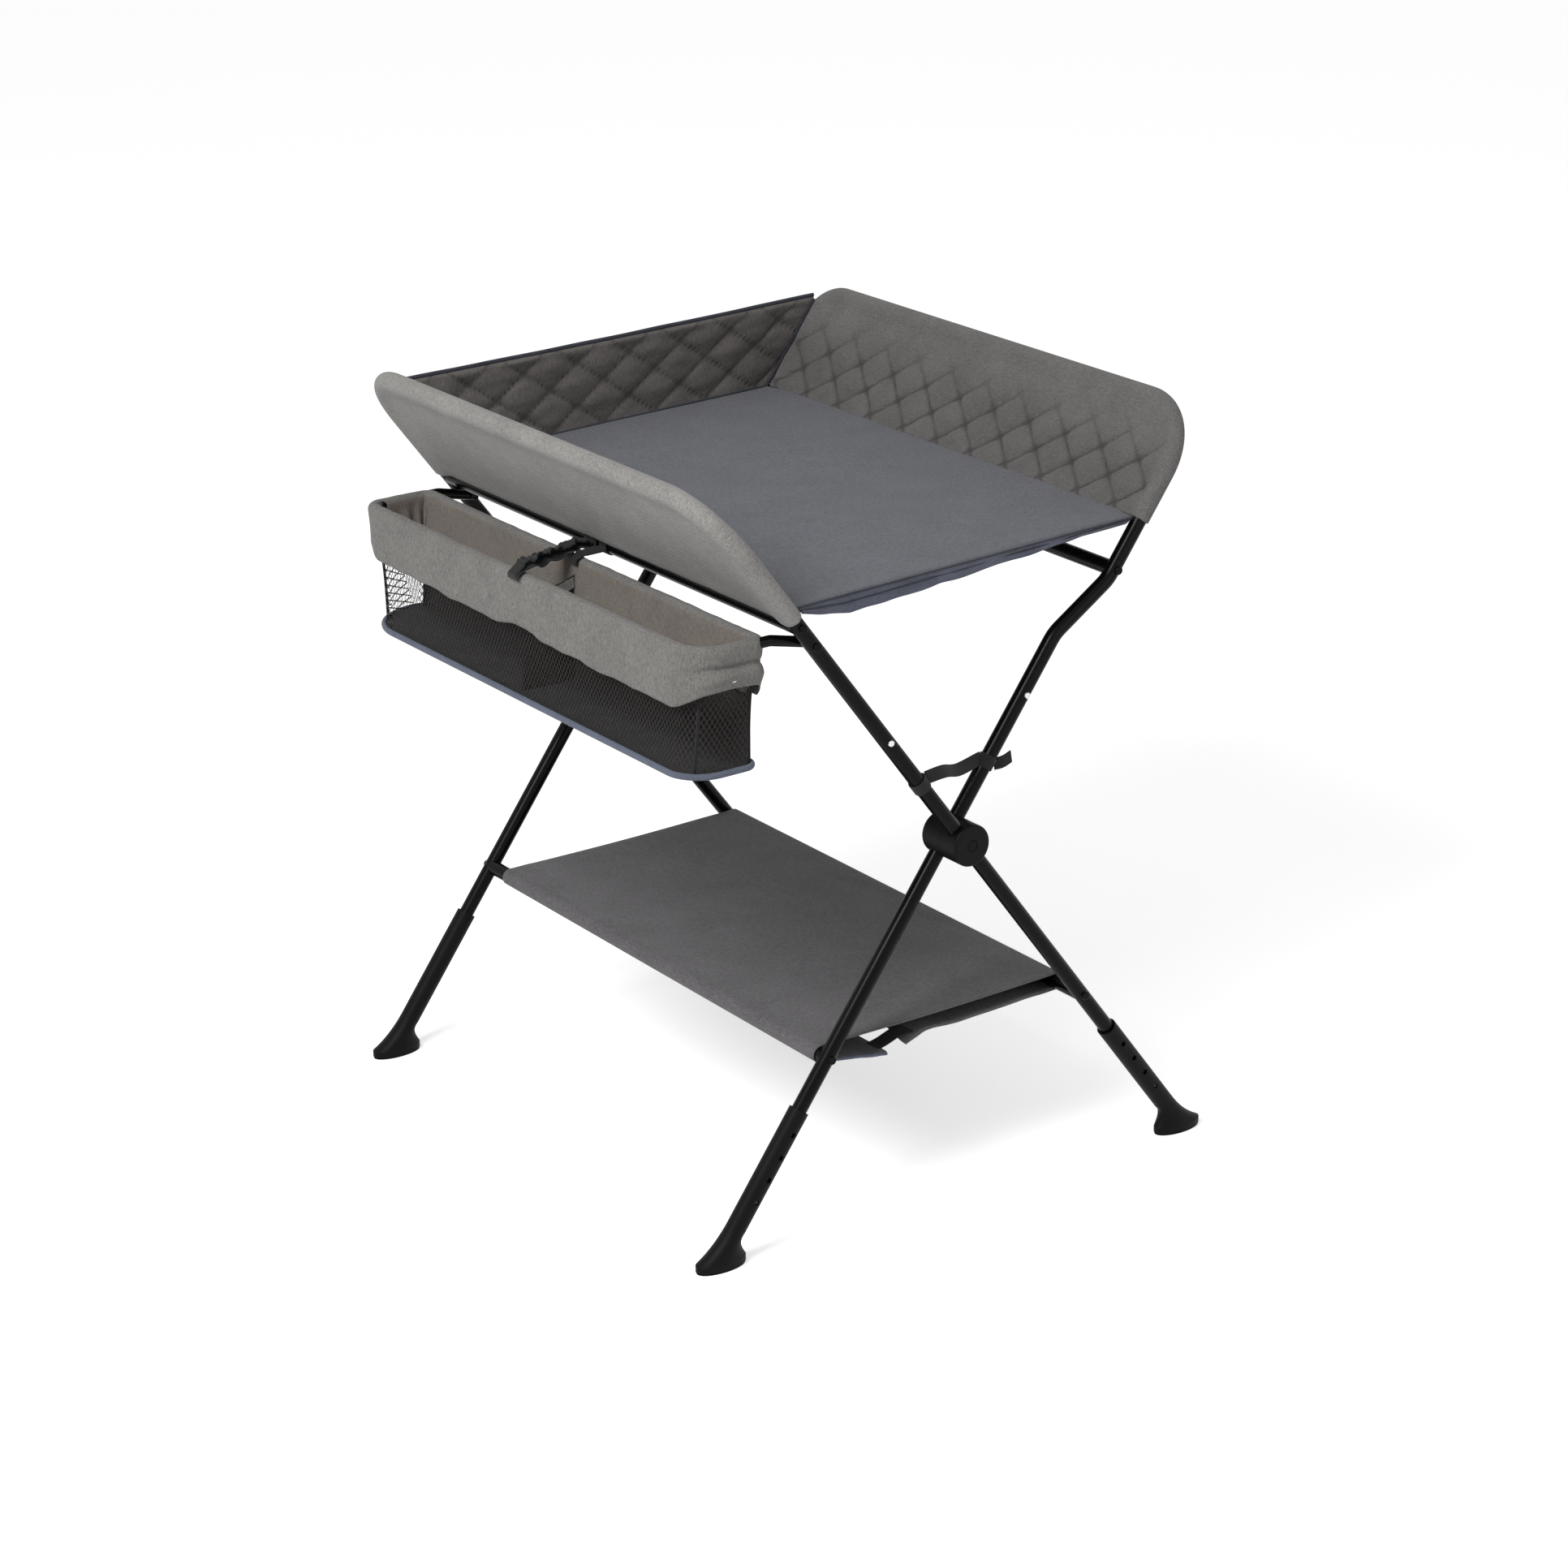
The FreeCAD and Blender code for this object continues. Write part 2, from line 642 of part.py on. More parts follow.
def limiter_strap():
    """Webbing that ties the two front legs together above the hub and stops them spreading."""
    ends = []
    for name, along in (("left", strap_left_along), ("right", strap_right_along)):
        frame = FRAMES[name]
        x, height = on_leg(frame, along)
        inward = -frame["side"] * (tube_d / 2 + cloth_gap + strap_thickness / 2)
        ends.append(V(x + inward, frame["front"], height))
    half = strap_width / 2
    rows = []
    for end in ends:
        rows.append([end + V(0, -strap_thickness / 2, -half), end + V(0, strap_thickness / 2, -half),
                     end + V(0, strap_thickness / 2, half), end + V(0, -strap_thickness / 2, half)])
    web = Part.makeLoft([Part.makePolygon(row + row[:1]) for row in rows], True, True)
    right = FRAMES["right"]
    x, height = on_leg(right, strap_right_along)
    root = tube_d / 2 + cloth_gap
    tail = Part.makeBox(strap_tail + root, strap_thickness, strap_width,
                        V(x, right["front"] - strap_thickness / 2, height - half))
    strap = web.fuse(tail)
    for name, along in (("left", strap_left_along), ("right", strap_right_along)):
        strap = strap.cut(strap_clear(FRAMES[name], along))
        strap = strap.fuse(strap_loop(FRAMES[name], along))
    return strap.removeSplitter()


# Basket

BASKET_FRONT = FRAMES["left"]["front"] + tube_d / 2 + free_gap + basket_tube_d / 2
BASKET_REAR = FRAMES["left"]["rear"] - tube_d / 2 - free_gap - basket_tube_d / 2


def basket_points():
    """Centreline of the basket's U-tube, from the front pivot round to the rear one."""
    pivot_x, pivot_z = on_leg(FRAMES["left"], basket_pivot_along)
    slope = V(pivot_x - arm_bend_x, 0, pivot_z - rim_height).normalize()
    start = V(pivot_x, 0, pivot_z) + slope * arm_past_pivot
    half = [start, V(arm_bend_x, 0, rim_height), V(rim_outer_x, 0, rim_height)]
    front = [point + V(0, BASKET_FRONT, 0) for point in half]
    rear = [point + V(0, BASKET_REAR, 0) for point in reversed(half)]
    return front + rear, [basket_corner / 2, basket_corner, basket_rear_corner, basket_corner / 2]


def basket_frame_tube():
    """The U-tube that the basket hangs on, drilled at both ends for the pivot screws."""
    points, bends = basket_points()
    tube = tube_along(points, bends, basket_tube_d, basket_wall)
    pivot_x, pivot_z = on_leg(FRAMES["left"], basket_pivot_along)
    drill = bar(V(pivot_x, -half_width, pivot_z), V(pivot_x, half_width, pivot_z),
                pivot_screw_d / 2 + fit_gap)
    return tube.cut(drill)


def basket_pivot_screws():
    """Screws through the left frame's legs that the basket turns on."""
    frame = FRAMES["left"]
    length = tube_d + 2 * fit_gap + free_gap + basket_tube_d + 2
    screws = [lean(screw(0, basket_pivot_along, at, way, pivot_screw_d, length), frame)
              for at, way in leg_sides(frame).values()]
    return Part.makeCompound(screws)


def basket_inner_rod():
    """The rod in the basket's inner rim, between the two arms."""
    rod = bar(V(rim_inner_x, BASKET_FRONT, rim_height), V(rim_inner_x, BASKET_REAR, rim_height),
              inner_rod_d / 2)
    points, bends = basket_points()
    return rod.cut(rod_along(points, bends, basket_tube_d / 2 + fit_gap))


def basket_outline(grow, height, spread=0.0, rear_corner=basket_rear_corner):
    """A level outline of the basket, grown outward from the tube's centreline."""
    x_low = rim_outer_x - grow - spread
    x_high = rim_inner_x + grow - spread
    y_low = BASKET_FRONT - grow
    y_high = BASKET_REAR + grow
    corners = [V(x_low, y_low, height), V(x_low, y_high, height),
               V(x_high, y_high, height), V(x_high, y_low, height)]
    radii = [basket_corner + grow, rear_corner + grow, inner_corner + grow, inner_corner + grow]
    return bent_wire(corners, radii, closed=True)


def basket_ring(outer, inner, low, high):
    """A level ring of the basket's outline."""
    block = Part.Face(basket_outline(outer, low)).extrude(V(0, 0, high - low))
    return block.cut(Part.Face(basket_outline(inner, low)).extrude(V(0, 0, high - low)))


def basket_rim_band():
    """The cloth band that hangs over the rim tube on both sides."""
    inside = basket_tube_d / 2 + cloth_gap
    outside = inside + band_thickness
    low = rim_height - band_drop
    top = rim_height + inside
    band = basket_ring(outside, -outside, low, top + band_thickness)
    band = band.cut(basket_ring(inside, -inside, low, top))
    points, bends = basket_points()
    return band.cut(rod_along(points, bends, inside)).Solids[0]


def basket_mesh():
    """The four net sides, from the rim tube down to the floor."""
    top = rim_height - basket_tube_d / 2 - cloth_gap
    low = basket_floor + fit_gap
    shells = []
    for grow in (mesh_thickness / 2, -mesh_thickness / 2):
        rings = [basket_outline(grow, low, floor_spread, floor_rear_corner), basket_outline(grow, top)]
        shells.append(Part.makeLoft(rings, True, True))
    return shells[0].cut(shells[1])


def floor_plate(grow, thickness):
    """A plate of the floor's outline, hanging down from the floor's height."""
    outline = basket_outline(grow, basket_floor, floor_spread, floor_rear_corner)
    return Part.Face(outline).extrude(V(0, 0, -thickness))


def basket_base():
    """The stiff cloth floor of the basket."""
    return floor_plate(mesh_thickness, floor_thickness)


def basket_base_piping():
    """The bound edge around the floor."""
    return floor_plate(mesh_thickness + piping_d, piping_d).cut(floor_plate(mesh_thickness, piping_d))


def basket_divider():
    """The net partition between the two compartments."""
    top = rim_height - band_drop - cloth_gap
    low = basket_floor + fit_gap
    inset = mesh_thickness / 2 + cloth_gap
    share = (top - low) / (rim_height - basket_tube_d / 2 - low)
    lean_back = floor_spread * (1 - share)
    corners = [V(rim_outer_x - floor_spread + inset, divider_y, low),
               V(rim_inner_x - floor_spread - inset, divider_y, low),
               V(rim_inner_x - lean_back - inset, divider_y, top),
               V(rim_outer_x - lean_back + inset, divider_y, top)]
    return prism(corners, V(0, mesh_thickness, 0))


def press_studs():
    """Press studs that close the band around the rim tube."""
    face = basket_tube_d / 2 + cloth_gap + band_thickness
    height = rim_height - stud_drop
    y = (BASKET_FRONT + BASKET_REAR) / 2
    start = rim_outer_x - face
    studs = [bar(V(start, y, height), V(start - stud_height, y, height), stud_d / 2)]
    middle = (rim_outer_x + rim_inner_x) / 2
    for at, way in ((BASKET_FRONT, -1), (BASKET_REAR, 1)):
        start = at + way * face
        end = V(middle, start + way * stud_height, height)
        studs.append(bar(V(middle, start, height), end, stud_d / 2))
    return Part.makeCompound(studs)


def basket_strap(y, far_x, width):
    """Webbing from a loop on the left cross tube to a hook over one side of the basket's rim."""
    tube_x, tube_z = on_leg(FRAMES["left"], left_cross_along)
    inner_r = tube_d / 2 + cloth_gap
    rim_top = rim_height + basket_tube_d / 2 + cloth_gap + band_thickness + cloth_gap
    half_rim = basket_tube_d / 2 + 2 * cloth_gap + band_thickness
    loop = bar(V(tube_x, y, tube_z), V(tube_x, y + width, tube_z), inner_r + strap_thickness)
    root_x = tube_x - inner_r
    tongue = prism([V(root_x, y, tube_z), V(root_x, y, tube_z - strap_thickness),
                    V(far_x + half_rim, y, rim_top), V(far_x + half_rim, y, rim_top + strap_thickness)],
                   V(0, width, 0))
    cap = Part.makeBox(2 * half_rim + strap_thickness, width, strap_thickness,
                       V(far_x - half_rim - strap_thickness, y, rim_top))
    skirt = Part.makeBox(strap_thickness, width, strap_skirt,
                         V(far_x - half_rim - strap_thickness, y, rim_top - strap_skirt))
    strap = loop.fuse(tongue).fuse(cap).fuse(skirt)
    strap = strap.cut(bar(V(tube_x, y, tube_z), V(tube_x, y + width, tube_z), inner_r))
    strap.translate(V(0, -width / 2, 0))
    return strap.removeSplitter()


# Assembly

def build_frame(name):
    """Every rigid and soft piece that belongs to one frame alone."""
    frame = FRAMES[name]
    foot = frame["foot"]
    pieces[f"{name}_rail_tube"] = rail_tube(frame)
    pieces[f"{name}_cross_tube"] = cross_tube(frame, frame["cross"], frame["jog"])
    pieces[f"{foot}_shelf_tube"] = cross_tube(frame, shelf_along, 0.0)
    pieces[f"{name}_frame_screws"] = tube_screws(frame)
    pieces[f"{name}_frame_end_plugs"] = end_plugs(frame)
    pieces[f"{name}_button_springs"] = button_springs(frame)
    pieces[f"{name}_wall_cover"] = wall_cover(frame)
    for end, (at, way) in leg_sides(frame).items():
        pieces[f"{name}_frame_{end}_leg"] = leg_tube(frame, at, way)
        pieces[f"{name}_{end}_hub"] = hub_half(frame, end)
        pieces[f"{name}_frame_{end}_button"] = snap_button(frame, at, way, button_along, SPLICE_BUTTON)
        button = snap_button(frame, at, way, height_button_along(), HEIGHT_BUTTON)
        pieces[f"{end}_{foot}_height_button"] = button
        pieces[f"{end}_{foot}_extension"] = extension(frame, at, way)
        pieces[f"{end}_{foot}_sole"] = sole(frame, at)


def build_shared():
    """The pieces that join the two frames."""
    pieces["hub_bolts"] = hub_bolts()
    pieces["hub_nuts"] = hub_nuts()
    pieces["mattress_pad"] = mattress_pad()
    pieces["rear_wall_panel"] = rear_wall_panel()
    pieces["rear_panel_piping"] = rear_panel_piping()
    pieces["front_hem"] = front_hem()
    pieces["shelf_cloth"] = shelf_cloth()
    pieces["shelf_tabs"] = shelf_tabs()
    pieces["limiter_strap"] = limiter_strap()


def build_basket():
    """The side basket and what holds it."""
    pieces["basket_frame_tube"] = basket_frame_tube()
    pieces["basket_pivot_screws"] = basket_pivot_screws()
    pieces["basket_inner_rod"] = basket_inner_rod()
    pieces["basket_rim_band"] = basket_rim_band()
    pieces["basket_mesh"] = basket_mesh()
    pieces["basket_base"] = basket_base()
    pieces["basket_base_piping"] = basket_base_piping()
    pieces["basket_divider"] = basket_divider()
    pieces["basket_press_studs"] = press_studs()
    pieces["basket_outer_strap"] = basket_strap(outer_strap_y, rim_outer_x, outer_strap_width)
    pieces["basket_inner_strap"] = basket_strap(inner_strap_y, rim_inner_x, inner_strap_width)


def export_all():
    """Move the origin to the bottom centre of the whole table and write each piece."""
    box = FreeCAD.BoundBox()
    for shape in pieces.values():
        box.add(shape.optimalBoundingBox(False))
    shift = V(-box.Center.x, -box.Center.y, -box.ZMin)
    os.makedirs("parts", exist_ok=True)
    for name, shape in pieces.items():
        shape.translate(shift)
        shape.exportStep(f"parts/{name}.step")
    print("shift", round(shift.x, 4), round(shift.y, 4), round(shift.z, 4))
    print("size", round(box.XLength, 2), round(box.YLength, 2), round(box.ZLength, 2), "pieces", len(pieces))


build_frame("left")
build_frame("right")
build_shared()
build_basket()
export_all()
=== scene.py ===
# Looks of a folding changing table, built round its packed construction, in the order of its assembly.
import math

import bpy
import numpy as np
from mathutils import Matrix, Vector, noise


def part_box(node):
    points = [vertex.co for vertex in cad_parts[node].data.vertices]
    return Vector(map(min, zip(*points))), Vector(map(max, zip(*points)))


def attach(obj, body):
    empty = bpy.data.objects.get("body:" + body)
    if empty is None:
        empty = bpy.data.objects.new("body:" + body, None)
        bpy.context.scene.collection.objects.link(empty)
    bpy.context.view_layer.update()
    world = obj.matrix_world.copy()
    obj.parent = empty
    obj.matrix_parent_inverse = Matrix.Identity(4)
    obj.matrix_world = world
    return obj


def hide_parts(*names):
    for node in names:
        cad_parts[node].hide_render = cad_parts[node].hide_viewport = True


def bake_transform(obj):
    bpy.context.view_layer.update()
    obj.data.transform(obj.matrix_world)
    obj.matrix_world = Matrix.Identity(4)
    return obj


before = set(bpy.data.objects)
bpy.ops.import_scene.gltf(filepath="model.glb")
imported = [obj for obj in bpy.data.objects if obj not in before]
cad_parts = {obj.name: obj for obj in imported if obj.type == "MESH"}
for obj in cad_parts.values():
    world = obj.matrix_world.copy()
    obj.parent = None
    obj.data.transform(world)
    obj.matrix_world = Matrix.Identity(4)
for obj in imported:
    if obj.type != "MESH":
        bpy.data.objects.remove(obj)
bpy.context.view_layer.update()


# Viewpoint. A long lens stands off the table's front left corner, above the walls,
# and is tipped by about one degree.
eye_place = Vector((-2.7147, -3.9309, 2.2359))
eye_azimuth, eye_elevation, eye_tilt = (math.radians(a) for a in (-34.759, 20.794, -1.019))
eye_back = Vector((math.sin(eye_azimuth) * math.cos(eye_elevation),
                   -math.cos(eye_azimuth) * math.cos(eye_elevation), math.sin(eye_elevation)))
eye_right = Vector((0, 0, 1)).cross(eye_back).normalized()
eye_axes = Matrix((eye_right, eye_back.cross(eye_right), eye_back)).transposed()
eye_turn = (eye_axes @ Matrix.Rotation(eye_tilt, 3, "Z")).to_4x4()
camera = bpy.data.objects.new("viewpoint", bpy.data.cameras.new("viewpoint"))
camera.data.lens, camera.data.sensor_width = 92.95, 36.0
camera.matrix_world = Matrix.Translation(eye_place) @ eye_turn
bpy.context.scene.collection.objects.link(camera)
bpy.context.scene.camera = camera


# Steel frame. Two crossed U-frames of 19 mm mild steel tube and their cross tubes, bent, then
# powder coated satin black. The baked powder leaves a fine orange peel and soft, narrow highlights.
def linear(code):
    """An sRGB hex colour as linear RGBA."""
    shares = [int(code[at:at + 2], 16) / 255 for at in (1, 3, 5)]
    return [s / 12.92 if s <= 0.04045 else ((s + 0.055) / 1.055) ** 2.4 for s in shares] + [1.0]


def add(tree, kind, links, **settings):
    """One node with its settings; links gives each input a socket to follow or a value."""
    node = tree.nodes.new("ShaderNode" + kind)
    for name, value in settings.items():
        setattr(node, name, value)
    for name, value in links.items():
        if isinstance(value, bpy.types.NodeSocket):
            tree.links.new(value, node.inputs[name])
        else:
            node.inputs[name].default_value = value
    return node


def start_material(name, **plain):
    """A material whose shader holds plain values; its patterns are linked afterwards."""
    material = bpy.data.materials.new(name)
    material.use_nodes = True
    shader = material.node_tree.nodes["Principled BSDF"]
    for socket, value in plain.items():
        shader.inputs[socket.replace("_", " ")].default_value = value
    return material, material.node_tree, shader


def feed(tree, shader, **sockets):
    """Link sockets to the shader's inputs of the same names."""
    for name, socket in sockets.items():
        tree.links.new(socket, shader.inputs[name.replace("_", " ")])


def per_metre(millimetres):
    """The texture scale that repeats a pattern every so many millimetres."""
    return 1000.0 / millimetres


def moulded(name, dark, light, grain_mm, depth_mm, smooth, rough, **plain):
    """A rigid finish: two near colours in soft clouds, a fine grain in relief, uneven gloss."""
    material, tree, shader = start_material(name, **plain)
    place = add(tree, "TexCoord", {}).outputs["Object"]
    clouds = add(tree, "TexNoise", {"Vector": place, "Scale": per_metre(40), "Detail": 4.0})
    grain = add(tree, "TexNoise", {"Vector": place, "Scale": per_metre(grain_mm), "Detail": 3.0})
    colour = add(tree, "Mix", {0: clouds.outputs[0], 6: linear(dark), 7: linear(light)},
                 data_type="RGBA")
    gloss = add(tree, "MapRange", {0: grain.outputs[0], 1: 0.3, 2: 0.7, 3: smooth, 4: rough})
    relief = add(tree, "Bump", {"Height": grain.outputs[0], "Distance": depth_mm / 1000,
                                "Strength": 0.6})
    feed(tree, shader, Base_Color=colour.outputs[2], Roughness=gloss.outputs[0],
         Normal=relief.outputs[0])
    return material


def finish_nodes(material, slot, *names):
    """Give CAD nodes their finish."""
    for name in names:
        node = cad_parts[name]
        node.data.materials.clear()
        node.data.materials.append(material)


powder_coat = moulded("powder coated mild steel", "#030303", "#070708", 1.6, 0.05, 0.22, 0.32,
                      IOR=1.5, Specular_IOR_Level=0.07, Coat_Weight=0.04, Coat_Roughness=0.08)
frame_tubes = ["left_rail_tube", "right_rail_tube", "left_cross_tube", "right_cross_tube",
               "left_shelf_tube", "right_shelf_tube"]
frame_tubes += [f"{side}_frame_{end}_leg" for side in ("left",
                                                       "right") for end in ("front", "rear")]
finish_nodes(powder_coat, "coated_steel", *frame_tubes)


# Screws and hub bolts. Domed steel fasteners, chemically blackened and oiled, through the legs
# into plastic plugs and through both hub halves.
black_oxide = moulded("black oxide steel", "#080809", "#101011", 0.6, 0.02, 0.3, 0.42, Metallic=0.4,
                      Specular_IOR_Level=0.1)
finish_nodes(black_oxide, "blackened_steel", "left_frame_screws", "right_frame_screws",
             "hub_bolts", "hub_nuts", "basket_pivot_screws")


# Hubs, end plugs, leg extensions. Black nylon, injection moulded with a fine spark texture
# that scatters light evenly and hides handling marks.
nylon = moulded("moulded black nylon", "#040405", "#090909", 0.9, 0.10, 0.42, 0.58, IOR=1.53,
                Specular_IOR_Level=0.09)
corners = [f"{end}_{side}" for end in ("front", "rear") for side in ("left", "right")]
finish_nodes(nylon, "black_nylon", "left_frame_end_plugs", "right_frame_end_plugs",
             *[f"{side}_{end}_hub" for side in ("left", "right") for end in ("front", "rear")],
             *[corner + "_extension" for corner in corners])


# Soles. Soft rubber, compression moulded, glued under each foot; dull, with a dusty bloom.
rubber = moulded("moulded sole rubber", "#050505", "#0c0c0c", 1.2, 0.15, 0.75, 0.9,
                 Specular_IOR_Level=0.1)
finish_nodes(rubber, "sole_rubber", *[corner + "_sole" for corner in corners])


# Snap buttons and their leaf springs. Turned steel heads, barrel plated with bright zinc on the frames and
# with black zinc in the feet; spring steel strip, blued. Plating leaves fine cloudy spots.
zinc = moulded("bright zinc plate", "#c3c4c2", "#e6e6e3", 0.8, 0.01, 0.2, 0.34, Metallic=0.9)
blued = moulded("blued spring steel", "#3a3e46", "#565a60", 1.5, 0.01, 0.28, 0.4, Metallic=1.0)
black_zinc = moulded("black zinc plate", "#0c0c0d", "#1a1a1b", 0.8, 0.01, 0.28, 0.4, Metallic=0.5)
finish_nodes(zinc, "zinc", *[f"{side}_frame_{end}_button" for side in ("left", "right")
                             for end in ("front", "rear")])
finish_nodes(black_zinc, "black_zinc", *[corner + "_height_button" for corner in corners])
finish_nodes(blued, "spring_steel", "left_button_springs", "right_button_springs")


# Wall covers. A padded sleeve of melange polyester cloth pulled over each upper U. The outer face is
# plain light heather, the inner face darker and diamond quilted through a thin foam, with a plain
# border along the rail. Uneven dyed fibres give the cloth its short vertical streaks.
leg_slant = math.radians(36.5)
cover_half = 0.012                          # half the thickness over the rail
rail_to_rim = 0.602                         # from the hub axis to the top of the rim
hub_low, hub_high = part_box("left_front_hub")
hub_x, hub_z = (hub_low.x + hub_high.x) / 2, (hub_low.z + hub_high.z) / 2


def middle(node):
    """The centre of a CAD node's box."""
    low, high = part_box(node)
    return (low + high) / 2


sides = {
    "left": {"sign": -1, "out": 0.0, "start": 0.4058, "corners": (0.097, 0.097),
             "front": middle("left_frame_front_leg").y,
             "rear": middle("left_frame_rear_leg").y},
    "right": {"sign": 1, "out": 0.034, "start": 0.441, "corners": (0.097, 0.060),
              "front": middle("right_frame_front_leg").y,
              "rear": middle("right_frame_rear_leg").y},
}


def on_side(side, out, y, along):
    """Points of a frame's own plane in the table: out from the plane, y, along the leg."""
    x = hub_x + side["sign"] * (out * math.cos(leg_slant) + along * math.sin(leg_slant))
    z = hub_z + along * math.cos(leg_slant) - out * math.sin(leg_slant)
    return np.stack(np.broadcast_arrays(x, y, z), -1)


def mesh_piece(name, points, faces, material, smooth=True):
    """A mesh object from plain points and faces."""
    mesh = bpy.data.meshes.new(name)
    mesh.from_pydata([tuple(p) for p in np.asarray(points, float)], [], [tuple(f) for f in faces])
    mesh.materials.append(material)
    mesh.polygons.foreach_set("use_smooth", [smooth] * len(mesh.polygons))
    mesh.update()
    piece = bpy.data.objects.new(name, mesh)
    bpy.context.scene.collection.objects.link(piece)
    return piece


def grid_faces(rows, columns, first=0, flip=False, ring=False):
    """Quads over a grid of points numbered row by row; ring joins the last column to the first."""
    faces = []
    for r in range(rows - 1):
        for c in range(columns if ring else columns - 1):
            d = (c + 1) % columns
            quad = [first + r * columns + c, first + r * columns + d,
                    first + (r + 1) * columns + d, first + (r + 1) * columns + c]
            faces.append(quad[::-1] if flip else quad)
    return faces


def pillow(name, front, back, material):
    """A closed pad from two equal grids of points whose rims are joined by a strip."""
    rows, columns = front.shape[:2]
    count = rows * columns
    points = np.concatenate([front.reshape(-1, 3), back.reshape(-1, 3)])
    faces = grid_faces(rows, columns) + grid_faces(rows, columns, count, flip=True)
    rim = [c for c in range(columns)] + [r * columns + columns - 1 for r in range(1, rows)]
    rim += [(rows - 1) * columns + c for c in range(columns - 2, -1, -1)]
    rim += [r * columns for r in range(rows - 2, 0, -1)]
    for a, b in zip(rim, rim[1:] + rim[:1]):
        faces.append([b, a, a + count, b + count])
    return mesh_piece(name, points, faces, material)


def spaced(length, edge, step):
    """Distances from 0 to length: fine over a rounded edge at both ends, even between them."""
    fine = [edge * share for share in (0, 0.04, 0.14, 0.3, 0.5, 0.72, 1.0)]
    between = np.linspace(edge, length - edge, max(2, round((length - 2 * edge) / step)) + 1)[1:-1]
    return np.array(fine + list(between) + [length - f for f in reversed(fine)])


def points_of(piece):
    """A piece's vertices as an array."""
    found = np.empty(len(piece.data.vertices) * 3, np.float32)
    piece.data.vertices.foreach_get("co", found)
    return found.reshape(-1, 3).astype(float)


def move_points(piece, points):
    """Set a piece's vertices from an array."""
    piece.data.vertices.foreach_set("co", np.asarray(points, np.float32).ravel())
    piece.data.update()


def apply_modifiers(piece):
    """Bake a piece's modifiers into its mesh."""
    baked = bpy.data.meshes.new_from_object(
        piece.evaluated_get(bpy.context.evaluated_depsgraph_get()))
    piece.modifiers.clear()
    piece.data = baked


def puff(piece, held, pressure, cap, slack):
    """Blow a stitched pad up as cloth: held points stay, the rest may move by no more than cap."""
    start = points_of(piece)
    group = piece.vertex_groups.new(name="stitched")
    for index in np.flatnonzero(held):
        group.add([int(index)], 1.0, "REPLACE")
    cloth = piece.modifiers.new("cloth", "CLOTH").settings
    cloth.quality, cloth.mass = 6, 0.3
    cloth.tension_stiffness = cloth.compression_stiffness = 20.0
    cloth.bending_stiffness = 0.6
    cloth.vertex_group_mass = "stitched"
    cloth.use_pressure, cloth.uniform_pressure_force = True, pressure
    cloth.shrink_min = -slack
    cloth.effector_weights.gravity = 0.0
    for step in range(1, 21):
        bpy.context.scene.frame_set(step)
    apply_modifiers(piece)
    move = points_of(piece) - start
    reach = np.linalg.norm(move, axis=1, keepdims=True)
    move_points(piece, start + move * np.minimum(1.0, cap / np.maximum(reach, 1e-9)))
    piece.vertex_groups.clear()
    bpy.context.scene.frame_set(1)
    piece.modifiers.new("subdivision", "SUBSURF").levels = 1
    apply_modifiers(piece)
    piece.data.polygons.foreach_set("use_smooth", [True] * len(piece.data.polygons))


def ease(value, low, high):
    """0 below low, 1 above high, smooth between them."""
    t = np.clip((value - low) / (high - low), 0, 1)
    return t * t * (3 - 2 * t)


def rounded(distance, radius):
    """A quarter round's height, from 0 to 1, at a distance in from its edge."""
    return np.sqrt(np.maximum(1 - (1 - np.minimum(distance / radius, 1)) ** 2, 0))


def quilting(across, up, width, height):
    """Height from 0 to 1 of a diamond-quilted cloth: creased along two sets of diagonal seams."""
    one = np.abs(np.sin(math.pi * (across / width + up / height)))
    other = np.abs(np.sin(math.pi * (across / width - up / height)))
    return (np.minimum(one, 1) * np.minimum(other, 1)) ** 0.42


def crumple(points, size_mm, seed):
    """Smooth random relief from -1 to 1 over points, with features of one size."""
    scale = per_metre(size_mm)
    return np.array([noise.noise(Vector(p) * scale + Vector((seed, seed, seed))) for p in points])


def crumpled(x, y, z, size_mm, seed):
    """The same relief over three arrays of coordinates, in their shape."""
    return crumple(np.stack([x.ravel(), y.ravel(), z.ravel()], 1), size_mm, seed).reshape(x.shape)


